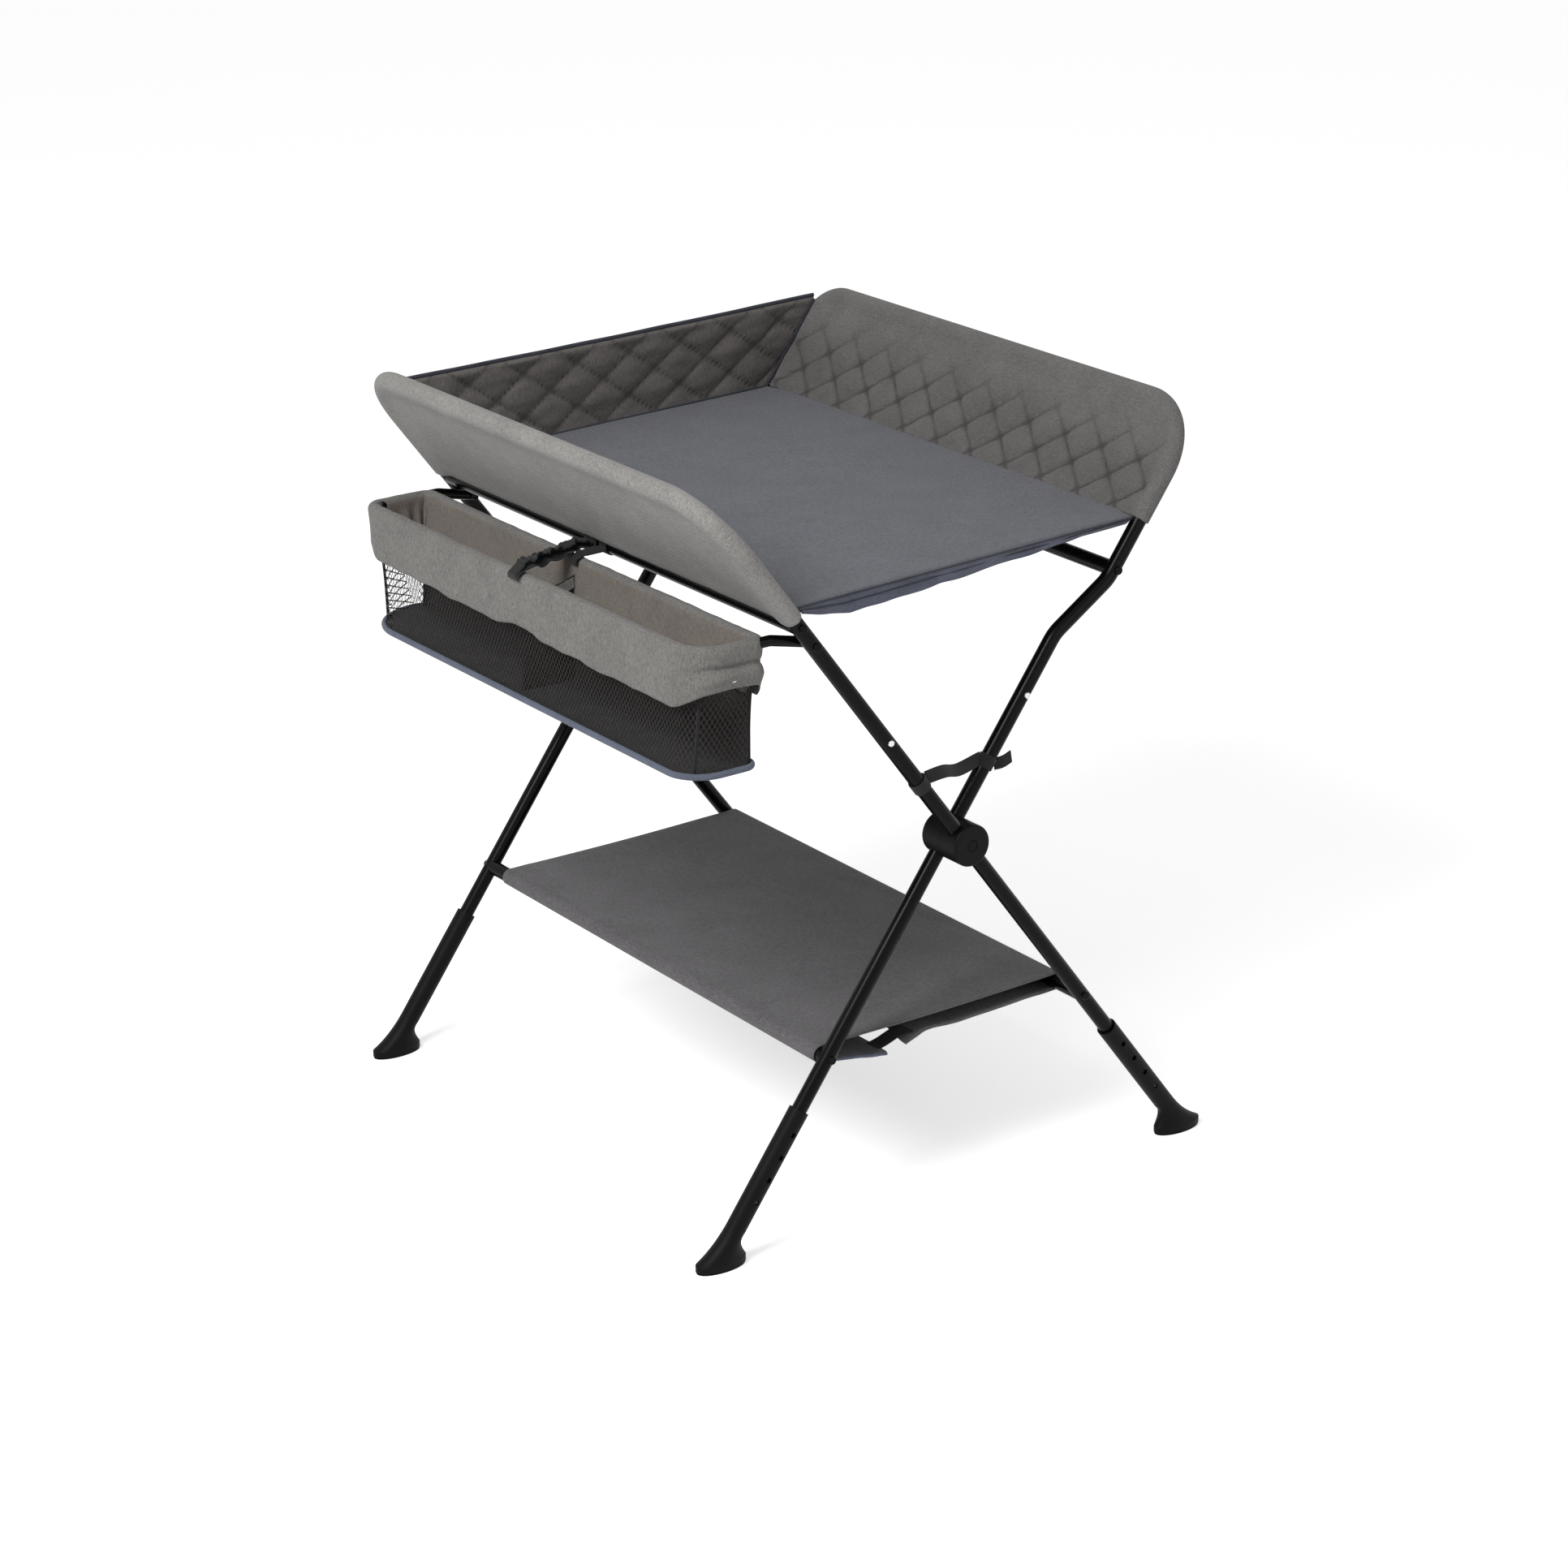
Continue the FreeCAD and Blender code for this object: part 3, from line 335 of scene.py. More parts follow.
def woven(name, dark, light, streak_mm, thread_mm, depth_mm, turn=0.0, mottle=0.3, warp="Z",
          seam=None, length=4.0, **plain):
    """A woven cloth: fibre streaks along warp and weft between two dyed colours, cloudy shading, and
    crossing threads in relief. Real threads of 0.3 mm are drawn at thread_mm so that they show, and
    seam is a darker colour laid along the sewn channels, where the mesh has any, as painted shade in
    the quilting's creases."""
    material, tree, shader = start_material(name, Sheen_Weight=0.08, Sheen_Roughness=0.6,
                                            Specular_IOR_Level=0.2, **plain)
    place = add(tree, "TexCoord", {}).outputs["Object"]
    flat = add(tree, "Mapping", {0: place, "Rotation": (0.0, turn, 0.0)}).outputs[0]
    long_scale, short_scale = per_metre(streak_mm * length), per_metre(streak_mm)
    weft = "X" if warp == "Y" else "Y"
    fibres = []
    for run in (warp, weft):
        stretch = tuple(long_scale if axis == run else short_scale for axis in "XYZ")
        along = add(tree, "Mapping", {0: flat, "Scale": stretch}).outputs[0]
        fibres.append(add(tree, "TexNoise", {0: along, "Scale": 1.0, "Detail": 3.0,
                                             "Roughness": 0.7}).outputs[0])
    clouds = add(tree, "TexNoise", {0: flat, "Scale": per_metre(55), "Detail": 5.0}).outputs[0]
    mixed = add(tree, "Mix", {0: 0.38, 2: fibres[0], 3: fibres[1]}).outputs[0]
    tone = add(tree, "Mix", {0: mottle, 2: mixed, 3: clouds}).outputs[0]
    share = add(tree, "MapRange", {0: tone, 1: 0.38, 2: 0.62}).outputs[0]
    colour = add(tree, "Mix", {0: share, 6: linear(dark), 7: linear(light)},
                 data_type="RGBA").outputs[2]
    # the seam colour is painted shade, darkening the quilting's creases along the sewn channels
    if seam:
        sewn = add(tree, "Attribute", {}, attribute_name="sewn").outputs[2]
        colour = add(tree, "Mix", {0: sewn, 6: colour, 7: linear(seam)},
                     data_type="RGBA").outputs[2]
    # a wave texture's band repeats every pi / (10 * scale)
    thread_scale = math.pi / 10 * per_metre(thread_mm)
    height = mixed
    for axis in (warp, weft):
        thread = add(tree, "TexWave", {0: flat, "Scale": thread_scale, "Distortion": 0.6,
                                       "Detail Scale": 2.0},
                     bands_direction="X" if axis == "Z" and not turn else axis).outputs[1]
        height = add(tree, "Math", {0: height, 1: thread}, operation="ADD").outputs[0]
    relief = add(tree, "Bump", {"Height": height, "Distance": depth_mm / 1000,
                                "Strength": 0.5}).outputs[0]
    rough = add(tree, "MapRange", {0: mixed, 1: 0.3, 2: 0.7, 3: 0.82, 4: 0.95}).outputs[0]
    feed(tree, shader, Base_Color=colour, Roughness=rough, Normal=relief)
    return material


def mark_seam_shade(piece, share):
    """Store how near each point lies to a sewn channel, from 0 to 1, for the painted shade in the quilting's
    creases.
    """
    sewn = piece.data.attributes.new("sewn", "FLOAT", "POINT")
    sewn.data.foreach_set("value", np.asarray(share, np.float32))


def outline_distance(side, y, along):
    """How far points on a cover lie inside its outline, past the legs, the rail and the two corners."""
    ends = (y - side["front"] + cover_half, side["rear"] + cover_half - y)
    edge = np.minimum(np.minimum(*ends), rail_to_rim - along)
    for end, radius in zip(ends, side["corners"]):
        across, over = radius - end, along - rail_to_rim + radius
        edge = np.where((across > 0) & (over > 0), radius - np.hypot(across, over), edge)
    return edge


def corner_inset(along, radius):
    """How far a cover's end lies inside its leg's line at a height beside a rounded corner."""
    over = np.clip(along - rail_to_rim + radius, 0, radius)
    return radius - np.sqrt(radius ** 2 - over ** 2)


def wall_cover(name):
    """The closed sleeve over one upper U."""
    side = sides[name]
    low, high = side["front"] - cover_half, side["rear"] + cover_half
    bend = rail_to_rim - side["corners"][0]
    straight = np.linspace(side["start"] + 0.010, bend, round((bend - side["start"]) / 0.0055))
    turns = np.linspace(0, math.pi / 2, 24)[1:]
    along = np.concatenate([side["start"] + np.array([0, 0.002, 0.005]), straight,
                            bend + side["corners"][0] * np.sin(turns)])
    insets = [corner_inset(along, radius) for radius in side["corners"]]
    across = spaced(high - low, cover_half, 0.0055) / (high - low)
    y = (low + insets[0])[:, None] + (high - low - insets[0] - insets[1])[:, None] * across[None, :]
    up = np.repeat(along[:, None], len(across), 1)
    inside = np.maximum(outline_distance(side, y, up), 0)
    from_hem = up - side["start"]
    near_leg = 1 - ease(np.minimum(np.abs(y - side["front"]), np.abs(y - side["rear"])), 0.012,
                        0.03)
    over_rail = rounded(inside, cover_half) * cover_half
    body = over_rail * (1 - 0.25 * ease(inside, 0.013, 0.034))
    faces = []
    for way, hem in ((1, 0.0035 + 0.0075 * near_leg), (-1, 0.0085 + 0.0025 * near_leg)):
        half = np.minimum(body, hem + (body - hem) * rounded(from_hem, 0.014))
        half = np.where(inside < 1e-6, 0, half)
        faces.append(on_side(side, side["out"] + way * half, y, up))
    cover = pillow(name + "_wall_cover_cloth", faces[0], faces[1], heather)
    flat = np.concatenate([inside.ravel(), inside.ravel()])
    above = np.concatenate([from_hem.ravel(), from_hem.ravel()])
    puff(cover, (flat < 0.017) | (above < 0.004), 3.0, 0.004, 0.012)

    # after the simulation: quilted diamonds on the inner face, and a soft crumple along the rail
    points = points_of(cover)
    sign = side["sign"]
    level, height = (points[:, 0] - hub_x) * sign, points[:, 2] - hub_z
    along = level * math.sin(leg_slant) + height * math.cos(leg_slant)
    out = level * math.cos(leg_slant) - height * math.sin(leg_slant) - side["out"]
    inside = outline_distance(side, points[:, 1], along)
    quilted_share = ease(inside, 0.012, 0.026) * ease(rail_to_rim - along, 0.035,
                                                      0.095) * ease(-out, 0.0, 0.003)
    rise = quilting(points[:, 1], along, quilt_width, quilt_height)
    wrinkle = crumpled(points[:, 1], along * 0.6, out * 0.2, 34, 3.1 + sign)
    fine = crumpled(points[:, 1], along, out * 0.2, 13, 1.7)
    towards = np.array([math.cos(leg_slant) * sign, 0, -math.sin(leg_slant)])
    hem_share = ease(along - side["start"], 0.002, 0.020)
    shove = quilted_share * hem_share * ((0.85 - rise) * quilt_depth - fine * 0.0013) + \
        np.sign(out) * wrinkle * 0.0007 * ease(inside, 0.004, 0.03)
    move_points(cover, points + towards * shove[:, None])
    # painted shade along the quilting's creases, fading out over the puffs
    mark_seam_shade(cover, quilted_share * (1 - 0.75 * ease(rise, 0.1, 0.5)))

    # the seam between the two cloths
    cover.data.materials.append(quilted)
    inner_at = seam_out[name]
    for polygon in cover.data.polygons:
        polygon.material_index = int(out[list(polygon.vertices)].mean() < inner_at)
    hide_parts(name + "_wall_cover")
    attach(cover, name + "_frame")
    return cover


quilt_width, quilt_height, quilt_depth = 0.071, 0.060, 0.0070
seam_out = {"left": -0.0115, "right": 0.006}
heather = woven("heather polyester cloth", "#656361", "#8c8a87", 1.7, 2.6, 0.3, turn=-leg_slant,
                mottle=0.15)
# its seam colour is painted shade in the quilting's creases
quilted = woven("quilted dark heather cloth", "#4a4847", "#6b6968", 1.7, 2.6, 0.3, turn=leg_slant,
                mottle=0.2, seam="#363433")
wall_cover("left")
wall_cover("right")


# Mat. A foam core in a plain bluish canvas case, sewn between the two covers and the rear panel. Its front
# edge is a round bullnose; the canvas lies taut with shallow rolls and dips where it meets the walls.
mat_low, mat_high = (corner.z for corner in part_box("mattress_pad"))
panel_low, panel_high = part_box("rear_wall_panel")
mat_middle, mat_half = (mat_low + mat_high) / 2, (mat_high - mat_low) / 2
panel_half = 0.006
wall_gap = 0.0012


def wall_face(name, z):
    """Where a cover's inner face lies at a height."""
    side = sides[name]
    out = side["out"] - cover_half - wall_gap
    along = (z - hub_z + out * math.sin(leg_slant)) / math.cos(leg_slant)
    return hub_x + side["sign"] * (out * math.cos(leg_slant) + along * math.sin(leg_slant))


def between(left, right, share):
    """A value at a share of the way from the left one to the right one."""
    return left + (right - left) * share


def end_line(end, share):
    """The y of the table's front or rear end at a share of the way across."""
    return between(sides["left"][end], sides["right"][end], share)


def mattress():
    """The mat, a little higher in the middle than at its sewn edges."""
    width = wall_face("right", mat_middle) - wall_face("left", mat_middle)
    length = sides["left"]["rear"] - sides["left"]["front"] - panel_half
    across = spaced(width, 0.010, 0.010) / width
    back = spaced(length, 0.012, 0.010) / length
    u, v = np.meshgrid(across, back)
    from_front, from_rear = v * length, (1 - v) * length
    from_wall = np.minimum(u, 1 - u) * width
    round_front = rounded(from_front, 0.006)
    sewn = ease(np.minimum(from_wall, from_rear), 0.0, 0.03)
    # the canvas runs in under the right cover's hem, between its two legs
    tuck = 0.006 * ease(np.minimum(from_front, from_rear), 0.012, 0.034)
    half = mat_half * round_front * (0.86 + 0.08 * sewn)
    grids = []
    for way in (1, -1):
        z = mat_middle + way * half
        left, right = wall_face("left", z), wall_face("right", z) + tuck
        front = end_line("front", u)
        rear = end_line("rear", u) - panel_half
        grids.append(np.stack([between(left, right, u), between(front, rear, v), z], -1))
    pad = pillow("mattress_pad_canvas", grids[0], grids[1], canvas)
    edge = np.minimum(np.minimum(from_front, from_rear), from_wall).ravel()
    puff(pad, np.concatenate([edge, edge]) < 0.011, 2.0, 0.0025, 0.004)
    points = points_of(pad)
    rolls = crumple(points * np.array([0.7, 1.0, 0.3]), 150, 7.7)
    creases = crumple(points * np.array([0.45, 1.0, 0.1]), 60, 2.3)
    points[:, 2] += (points[:, 2] > mat_middle) * (rolls * 0.0012 + creases * 0.0004)
    move_points(pad, points)
    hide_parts("mattress_pad")
    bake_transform(pad)


canvas = woven("bluish polyester canvas", "#46474d", "#606167", 1.6, 2.6, 0.15, warp="Y",
               mottle=0.12)
mattress()


# Rear panel. A thin foam board in the same dark cloth as the inner walls, quilted on both faces, sewn to
# the mat and to both covers. A slate blue binding is rolled round its top edge, drawn in a darker copy of
# the slate tape as painted shade.
def rear_panel():
    """The upright quilted panel behind the mat."""
    base, top = panel_low.z + 0.002, panel_high.z
    up = spaced(top - base, 0.005, 0.0045) + base
    width = wall_face("right", top) - wall_face("left", top)
    across = spaced(width, 0.004, 0.0045) / width
    u, z = np.meshgrid(across, up)
    x = between(wall_face("left", z), wall_face("right", z), u)
    y = end_line("rear", u)
    edge = np.minimum(np.minimum(u, 1 - u) * width, np.minimum(z - base, top - z))
    ends = rounded(edge, 0.005)
    rise = quilting(x, z - mat_high, panel_quilt, panel_quilt * 0.70)
    sewn = 1 - ease(np.minimum(z - base, top - z), 0.006, 0.018)
    half = panel_half * ends * np.maximum(0.15 + 1.0 * rise, 0.98 * sewn)
    slack = crumpled(x * 0.6, 0 * x, z * 1.5, 20, 5.5)
    bow = 0.006 * np.sin(math.pi * u) * ease(z, base, top)
    y = y + slack * 0.0020 * ends - bow
    panel = pillow("rear_wall_panel_cloth", np.stack([x, y - half, z], -1),
                   np.stack([x, y + half, z], -1),
                   quilted_rear)
    # painted shade along the quilting's creases, fading out over the puffs
    mark_seam_shade(panel, np.tile((1 - ease(rise, 0.1, 0.5)).ravel(), 2))
    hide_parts("rear_wall_panel")
    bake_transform(panel)


def closed_roll(name, rings, material):
    """A closed surface over rings of points, with a flat cap at each end."""
    rows, columns = rings.shape[:2]
    last = (rows - 1) * columns
    faces = grid_faces(rows, columns, ring=True, flip=True)
    faces += [list(range(columns)), [last + k for k in reversed(range(columns))]]
    return mesh_piece(name, rings.reshape(-1, 3), faces, material)


def tube_along(name, line, radii, material, points_round=14, squash=1.0):
    """A closed soft roll of cloth along a line of points, with a radius at each point."""
    line = np.asarray(line, float)
    ahead = np.gradient(line, axis=0)
    ahead /= np.linalg.norm(ahead, axis=1, keepdims=True)
    up = np.array([0.0, 0.0, 1.0])
    side = np.cross(ahead, up)
    side /= np.maximum(np.linalg.norm(side, axis=1, keepdims=True), 1e-9)
    over = np.cross(side, ahead)
    angles = np.linspace(0, 2 * math.pi, points_round, endpoint=False)
    radii = np.broadcast_to(radii, len(line))
    rings = line[:, None] + radii[:, None, None] * (
        np.cos(angles)[None, :, None] * side[:, None] + squash * np.sin(angles)[None, :, None] * over[:, None])
    return closed_roll(name, rings, material)


def waver(values, rate, y, z=0):
    """Smooth random values from -1 to 1 along a run of values."""
    return np.array([noise.noise(Vector((value * rate, y, z))) for value in values])


def rear_binding():
    """The rolled binding on the rear panel's top edge, in the darker slate copy as painted shade."""
    height = panel_high.z + 0.0018
    u = np.linspace(0, 1, 150)
    x = between(wall_face("left", height) + 0.002, wall_face("right", height) - 0.002, u)
    y = end_line("rear", u) - 0.006 * np.sin(math.pi * u)
    wave = waver(u, 9, 4.2)
    line = np.stack([x, y, height + 0.0006 * wave], 1)
    roll = tube_along("rear_panel_binding", line, 0.0027, slate_in_painted_shade)
    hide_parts("rear_panel_piping")
    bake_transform(roll)


def distances(line):
    """How far along a line each of its points lies."""
    return np.concatenate([[0], np.cumsum(np.linalg.norm(np.diff(line, axis=0), axis=1))])


def curve_through(knots, count):
    """Evenly spaced points on a smooth curve through knots, by Catmull-Rom."""
    knots = np.asarray(knots, float)
    ends = np.vstack([2 * knots[0] - knots[1], knots, 2 * knots[-1] - knots[-2]])
    fine = []
    for k in range(len(knots) - 1):
        t = np.linspace(0, 1, 24, endpoint=False)[:, None]
        p0, p1, p2, p3 = ends[k:k + 4]
        fine.append(0.5 * (2 * p1 + (p2 - p0) * t + (2 * p0 - 5 * p1 + 4 * p2 - p3) * t ** 2
                           + (3 * p1 - p0 - 3 * p2 + p3) * t ** 3))
    fine = np.vstack(fine + [knots[-1:]])
    reach = distances(fine)
    at = np.linspace(0, reach[-1], count)
    return np.stack([np.interp(at, reach, fine[:, k]) for k in range(3)], 1)


def corner_welts():
    """Cords in the seams where the rear panel meets the mat and the two covers, drawn dark as painted shade in
    these inside corners.
    """
    low_z, high_z = mat_high - 0.001, panel_high.z - 0.002
    front = {name: side["rear"] - panel_half * 0.9 for name, side in sides.items()}
    line = []
    for name, heights in (("left", np.linspace(high_z, low_z, 20)),
                          ("right", np.linspace(low_z, high_z, 20))):
        sign = sides[name]["sign"]
        line.append([(wall_face(name, z) - sign * 0.0012, front[name], z) for z in heights])
    u = np.linspace(0, 1, 90)[1:-1]
    base = [(between(line[0][-1][0], line[1][0][0], a),
             between(front["left"], front["right"], a) - 0.0012
             - 0.0006 * noise.noise(Vector((a * 22, 3.1, 0))), low_z + 0.0008) for a in u]
    welt = tube_along("rear_corner_welt", curve_through(line[0][:-2] + base + line[1][2:], 240),
                      0.0015,
                      slate_in_painted_shade, 8)
    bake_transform(welt)


panel_quilt = 0.083
# its seam colour is painted shade in the quilting's creases
quilted_rear = woven("quilted rear heather cloth", "#454240", "#625e5c", 1.7, 2.6, 0.3, mottle=0.2,
                     seam="#353231")
slate = woven("slate blue binding tape", "#454a58", "#5d6270", 1.4, 2.0, 0.15, warp="X")
# a darker copy of the slate tape: painted shade for bindings and cords that lie in shade
slate_in_painted_shade = woven("slate welt tape in painted shade", "#1f2128", "#343740", 1.4, 2.0, 0.15, warp="X")
rear_panel()
rear_binding()
corner_welts()


# Front hem. The canvas case ends in a loose facing of slate blue lining, sewn along the mat's front edge with
# a thin roll and hanging in shallow waves, deepest on the left; its lower edge is bound. The roll is drawn in a
# darker copy of the slate tape as painted shade, and a thin dark cord across the facing is painted shade along
# a fold.
def thicken(piece, thickness):
    """Give a sheet its cloth's thickness, half to each side."""
    thick = piece.modifiers.new("thickness", "SOLIDIFY")
    thick.thickness, thick.offset = thickness, 0
    apply_modifiers(piece)


def front_hem():
    """The facing, its top roll and its bound lower edge in one cloth piece, and a dark cord as painted shade
    along a fold.
    """
    columns, rows = 160, 12
    u = np.linspace(0, 1, columns)
    top = mat_high - 0.0022
    depth = np.interp(u, [0, 0.04, 0.12, 0.3, 0.45, 0.6, 0.75, 0.9, 1], hem_depths)
    ripple = waver(u, 11, 9.4)
    depth = depth + 0.0014 * ripple * ease(np.minimum(u, 1 - u), 0.0, 0.08)
    v = np.linspace(0, 1, rows)[:, None]
    z = top - v * depth[None, :]
    x = between(wall_face("left", z) + 0.001, wall_face("right", z) - 0.001, u[None, :])
    y = end_line("front", u)[None, :] - 0.0016
    sway = np.array([waver(u, 16, b * 1.6, 1.7) for b in np.linspace(0, 1, rows)])
    y = y + v ** 3 * (0.002 + 0.004 * sway)
    cloth = mesh_piece("front_hem_facing", np.stack([x, np.broadcast_to(y, x.shape), z],
                                                    -1).reshape(-1, 3),
                       grid_faces(rows, columns), lining)
    thicken(cloth, 0.0009)
    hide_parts("front_hem")
    edge = np.stack([x[-1], np.broadcast_to(y, x.shape)[-1], z[-1]], 1)
    seam = np.stack([x[0], np.broadcast_to(y, x.shape)[0] - 0.0006, z[0] + 0.0005], 1)
    bound = tube_along("front_hem_binding", edge, 0.0012, slate, 8)
    # the top roll and the fold's cord are in the darker slate copy as painted shade; the cord marks a fold's
    # crease
    roll = tube_along("front_edge_seam", seam, 0.0013, slate_in_painted_shade, 8)
    fold_shade_cord = tube_along("front_hem_fold_shade", seam * 0.58 + edge * 0.42 + [0, -0.0008, 0], 0.0010,
                      slate_in_painted_shade, 8)
    for piece in (cloth, bound, roll, fold_shade_cord):
        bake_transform(piece)


hem_depths = [0.008, 0.014, 0.021, 0.019, 0.017, 0.013, 0.010, 0.006, 0.004]
lining = woven("slate blue lining", "#434650", "#5b5f6c", 1.6, 2.2, 0.1, warp="X")
front_hem()


# Limiter strap. Black polyester webbing, woven with ribs across it, looped round both front legs above the
# hub so that they stop at the right spread. Its loose tail sticks out beside the right leg.
wrap_radius = 0.0105                       # the middle of cloth or webbing round a 19 mm tube
loop_along = {"left": 0.110, "right": 0.098}           # the loops above the hub axis


def band_along(name, line, across, width, thickness, material):
    """A flat strap with soft edges along a line; across gives its width direction at each point."""
    line, across = np.asarray(line, float), np.asarray(across, float)
    across = across / np.linalg.norm(across, axis=1, keepdims=True)
    ahead = np.gradient(line, axis=0)
    ahead /= np.linalg.norm(ahead, axis=1, keepdims=True)
    normal = np.cross(ahead, across)
    normal /= np.linalg.norm(normal, axis=1, keepdims=True)
    half, lip = width / 2, thickness / 2
    outline = [(-half, 0), (-half + lip * 0.3, lip * 0.8), (-half + lip, lip)]
    outline += [(offset, lip) for offset in np.linspace(-half + lip, half - lip, 7)[1:-1]]
    outline += [(half - lip, lip), (half - lip * 0.3, lip * 0.8)]
    outline += [(-a, -b) for a, b in outline]
    a, b = np.array(outline).T
    rings = line[:, None] + a[None, :, None] * across[:, None] + b[None, :, None] * normal[:, None]
    return closed_roll(name, rings, material)


def leg_loop(name, side, along, radius):
    """A ring of webbing round a leg, with a slight overlap that stands off where it is sewn."""
    turns = np.linspace(-math.pi, math.pi * 1.12, 44)
    swell = radius + 0.0012 * ease(turns, math.pi * 0.8, math.pi * 1.12)
    line = on_side(side, swell * np.cos(turns), side["front"] + swell * np.sin(turns), along)
    leg = on_side(side, 0.0, 0.0, 1.0) - on_side(side, 0.0, 0.0, 0.0)
    return band_along(name, line, np.broadcast_to(leg, line.shape), 0.016, 0.0014, webbing)


def limiter_strap():
    """Two loops, the web between them and the tail."""
    loops = [leg_loop("limiter_loop_" + name, side, loop_along[name], wrap_radius)
             for name, side in sides.items()]
    left, right = (on_side(side, -wrap_radius, side["front"], loop_along[name])
                   for name, side in sides.items())
    sag = np.array([0, 0, -0.008])
    knots = [left, left + (right - left) * 0.3 + sag + [0, -0.004, 0.010],
             left + (right - left) * 0.62 + sag * 1.2 + [0, 0.002, 0.004], right]
    line = curve_through(knots, 40)
    tilt = np.linspace(0, 1, 40)[:, None]
    across = np.array([[0, 0.25, 1.0]]) + 0.5 * np.sin(math.pi * tilt) * np.array([[0, 1, 0]])
    web = band_along("limiter_web", line, across, 0.016, 0.0014, webbing)
    tail_start = on_side(sides["right"], 0.008, sides["right"]["front"] - 0.006, 0.100)
    knots = [tail_start, tail_start + [0.012, -0.002, 0.001], tail_start + [0.026, 0.0, 0.004]]
    tail = band_along("limiter_tail", curve_through(knots, 16), np.tile([0, 0.2, 1.0], (16, 1)),
                      0.015, 0.0014, webbing)
    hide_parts("limiter_strap")
    for piece, body in zip(loops + [tail], ("left_frame", "right_frame", "right_frame")):
        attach(piece, body)
    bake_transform(web)


webbing = woven("black polyester webbing", "#0c0c0d", "#1b1b1c", 0.8, 1.5, 0.3, warp="X")
limiter_strap()


# Shelf. One length of close-woven grey canvas stretched over both shelf tubes and folded back underneath;
# the short left flap is bound in slate and hangs a little, and webbing tabs join it to the long right flap.
def shelf():
    """The cloth from the left flap's end, round both tubes, to the right flap's end."""
    left, right = middle("left_shelf_tube"), middle("right_shelf_tube")
    low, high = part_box("shelf_cloth")
    radius, columns = wrap_radius, 120
    half_turn = np.linspace(math.pi / 2, -math.pi / 2, 12)
    flap = np.linspace(1, 0, 14)[:-1]
    deck = np.linspace(0, 1, 60)[1:-1]
    back = np.linspace(0, 1, 40)[1:]
    runs = [(left.x + left_flap * flap, left.z - radius - left_hang * flap ** 1.3),
            (left.x - radius * np.cos(half_turn[::-1]), left.z + radius * np.sin(half_turn[::-1])),
            (between(left.x, right.x, deck), left.z + radius - 0.0022 * np.sin(math.pi * deck)),
            (right.x + radius * np.cos(half_turn), right.z + radius * np.sin(half_turn)),
            (right.x - right_flap * back, right.z - radius - 0.0016 * np.sin(math.pi * back / 2))]
    path_x, path_z = (np.concatenate([run[k] for run in runs]) for k in (0, 1))
    y = np.linspace(low.y, high.y, columns)
    x, z = np.repeat(path_x[:, None], columns, 1), np.repeat(path_z[:, None], columns, 1)
    y = np.broadcast_to(y, x.shape)
    wrinkles = np.array([noise.noise(Vector((a * 34, b * 4, 3.3))) for a, b in
                         zip((x * 0.9 + y * 0.42).ravel(), (y - 0.5 * x).ravel())]).reshape(x.shape)
    soft = crumpled(x, y, 0 * x, 90, 6.1)
    free = ease(np.abs(z - left.z), radius * 0.9, radius) * ease(right.x - x, 0.0, 0.03) * \
        ease(x - left.x, 0.0, 0.03)
    under = ease(left.z - z, 0, radius)
    z = z + free * (0.0026 * wrinkles + 0.0010 * soft)
    # the long flap's loose front corner hangs down in a small tip
    end = ease(0.030 - np.abs(x - right.x + right_flap), 0, 0.030) * under
    z = z - 0.010 * end * ease(low.y + 0.05 - y, 0, 0.05)
    y = y + 0.0025 * end * np.sin(x * 900) * ease(low.y + 0.03 - y, 0, 0.03)
    cloth = mesh_piece("shelf_canvas", np.stack([x, y, z], -1).reshape(-1, 3),
                       grid_faces(len(path_x), columns, flip=True), shelf_cloth)
    thicken(cloth, 0.0014)
    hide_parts("shelf_cloth")

    # the slate binding round the left flap's three free edges
    step = len(flap)
    rim = np.stack([x, y, z - 0.001], -1)
    edge = np.vstack([rim[:step, 0][::-1], rim[0, 4:-4:4], rim[:step, -1]])
    binding = tube_along("shelf_flap_binding", curve_through(edge, 260), 0.0021, slate, 8)

    # tabs sewn across the gap under the shelf
    tabs = []
    for tab_y in (low.y + 0.022, 0.0, high.y - 0.022):
        knots = [(left.x + left_flap - 0.016, tab_y, left.z - radius - left_hang),
                 (left.x + left_flap + 0.006, tab_y, left.z - radius - left_hang * 0.8),
                 (right.x - right_flap + 0.003, tab_y, right.z - radius - 0.0030),
                 (right.x - right_flap + 0.022, tab_y, right.z - radius - 0.0030)]
        tabs.append(band_along(f"shelf_tab_{len(tabs)}", curve_through(knots, 24),
                               np.tile([0, 1.0, 0.05], (24, 1)), 0.022, 0.0016, webbing))
    for piece in [cloth, binding] + tabs:
        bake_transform(piece)
    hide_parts("shelf_tabs")


left_flap, left_hang, right_flap = 0.096, 0.0135, 0.232
shelf_cloth = woven("close-woven grey canvas", "#484648", "#636163", 1.7, 2.6, 0.15, warp="Y",
                    mottle=0.15)
shelf()


# Basket rim. A bent 13 mm tube turns on screws in the left frame's legs; an 8 mm rod closes the
# inner side. Both are powder coated like the frame.
finish_nodes(powder_coat, "coated_steel", "basket_frame_tube", "basket_inner_rod")


# Basket band. A deep hem of the light heather cloth folded over the rim, hanging inside and outside, gathered
# at the two ends and closed with press studs. Its lower edge waves where the netting pulls on it.
tube_low, tube_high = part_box("basket_frame_tube")
rim_z = middle("basket_inner_rod").z
rim_x, rim_y = (tube_low.x + 0.0065, middle("basket_inner_rod").x), (tube_low.y + 0.0065,
                                                                     tube_high.y - 0.0065)
net_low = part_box("basket_mesh")[0].z
floor_shift = 0.013                        # the floor sits this much further out than the rim
# steps round a corner, along an end and along a long side
arc_points, end_points, side_points = 24, 24, 190


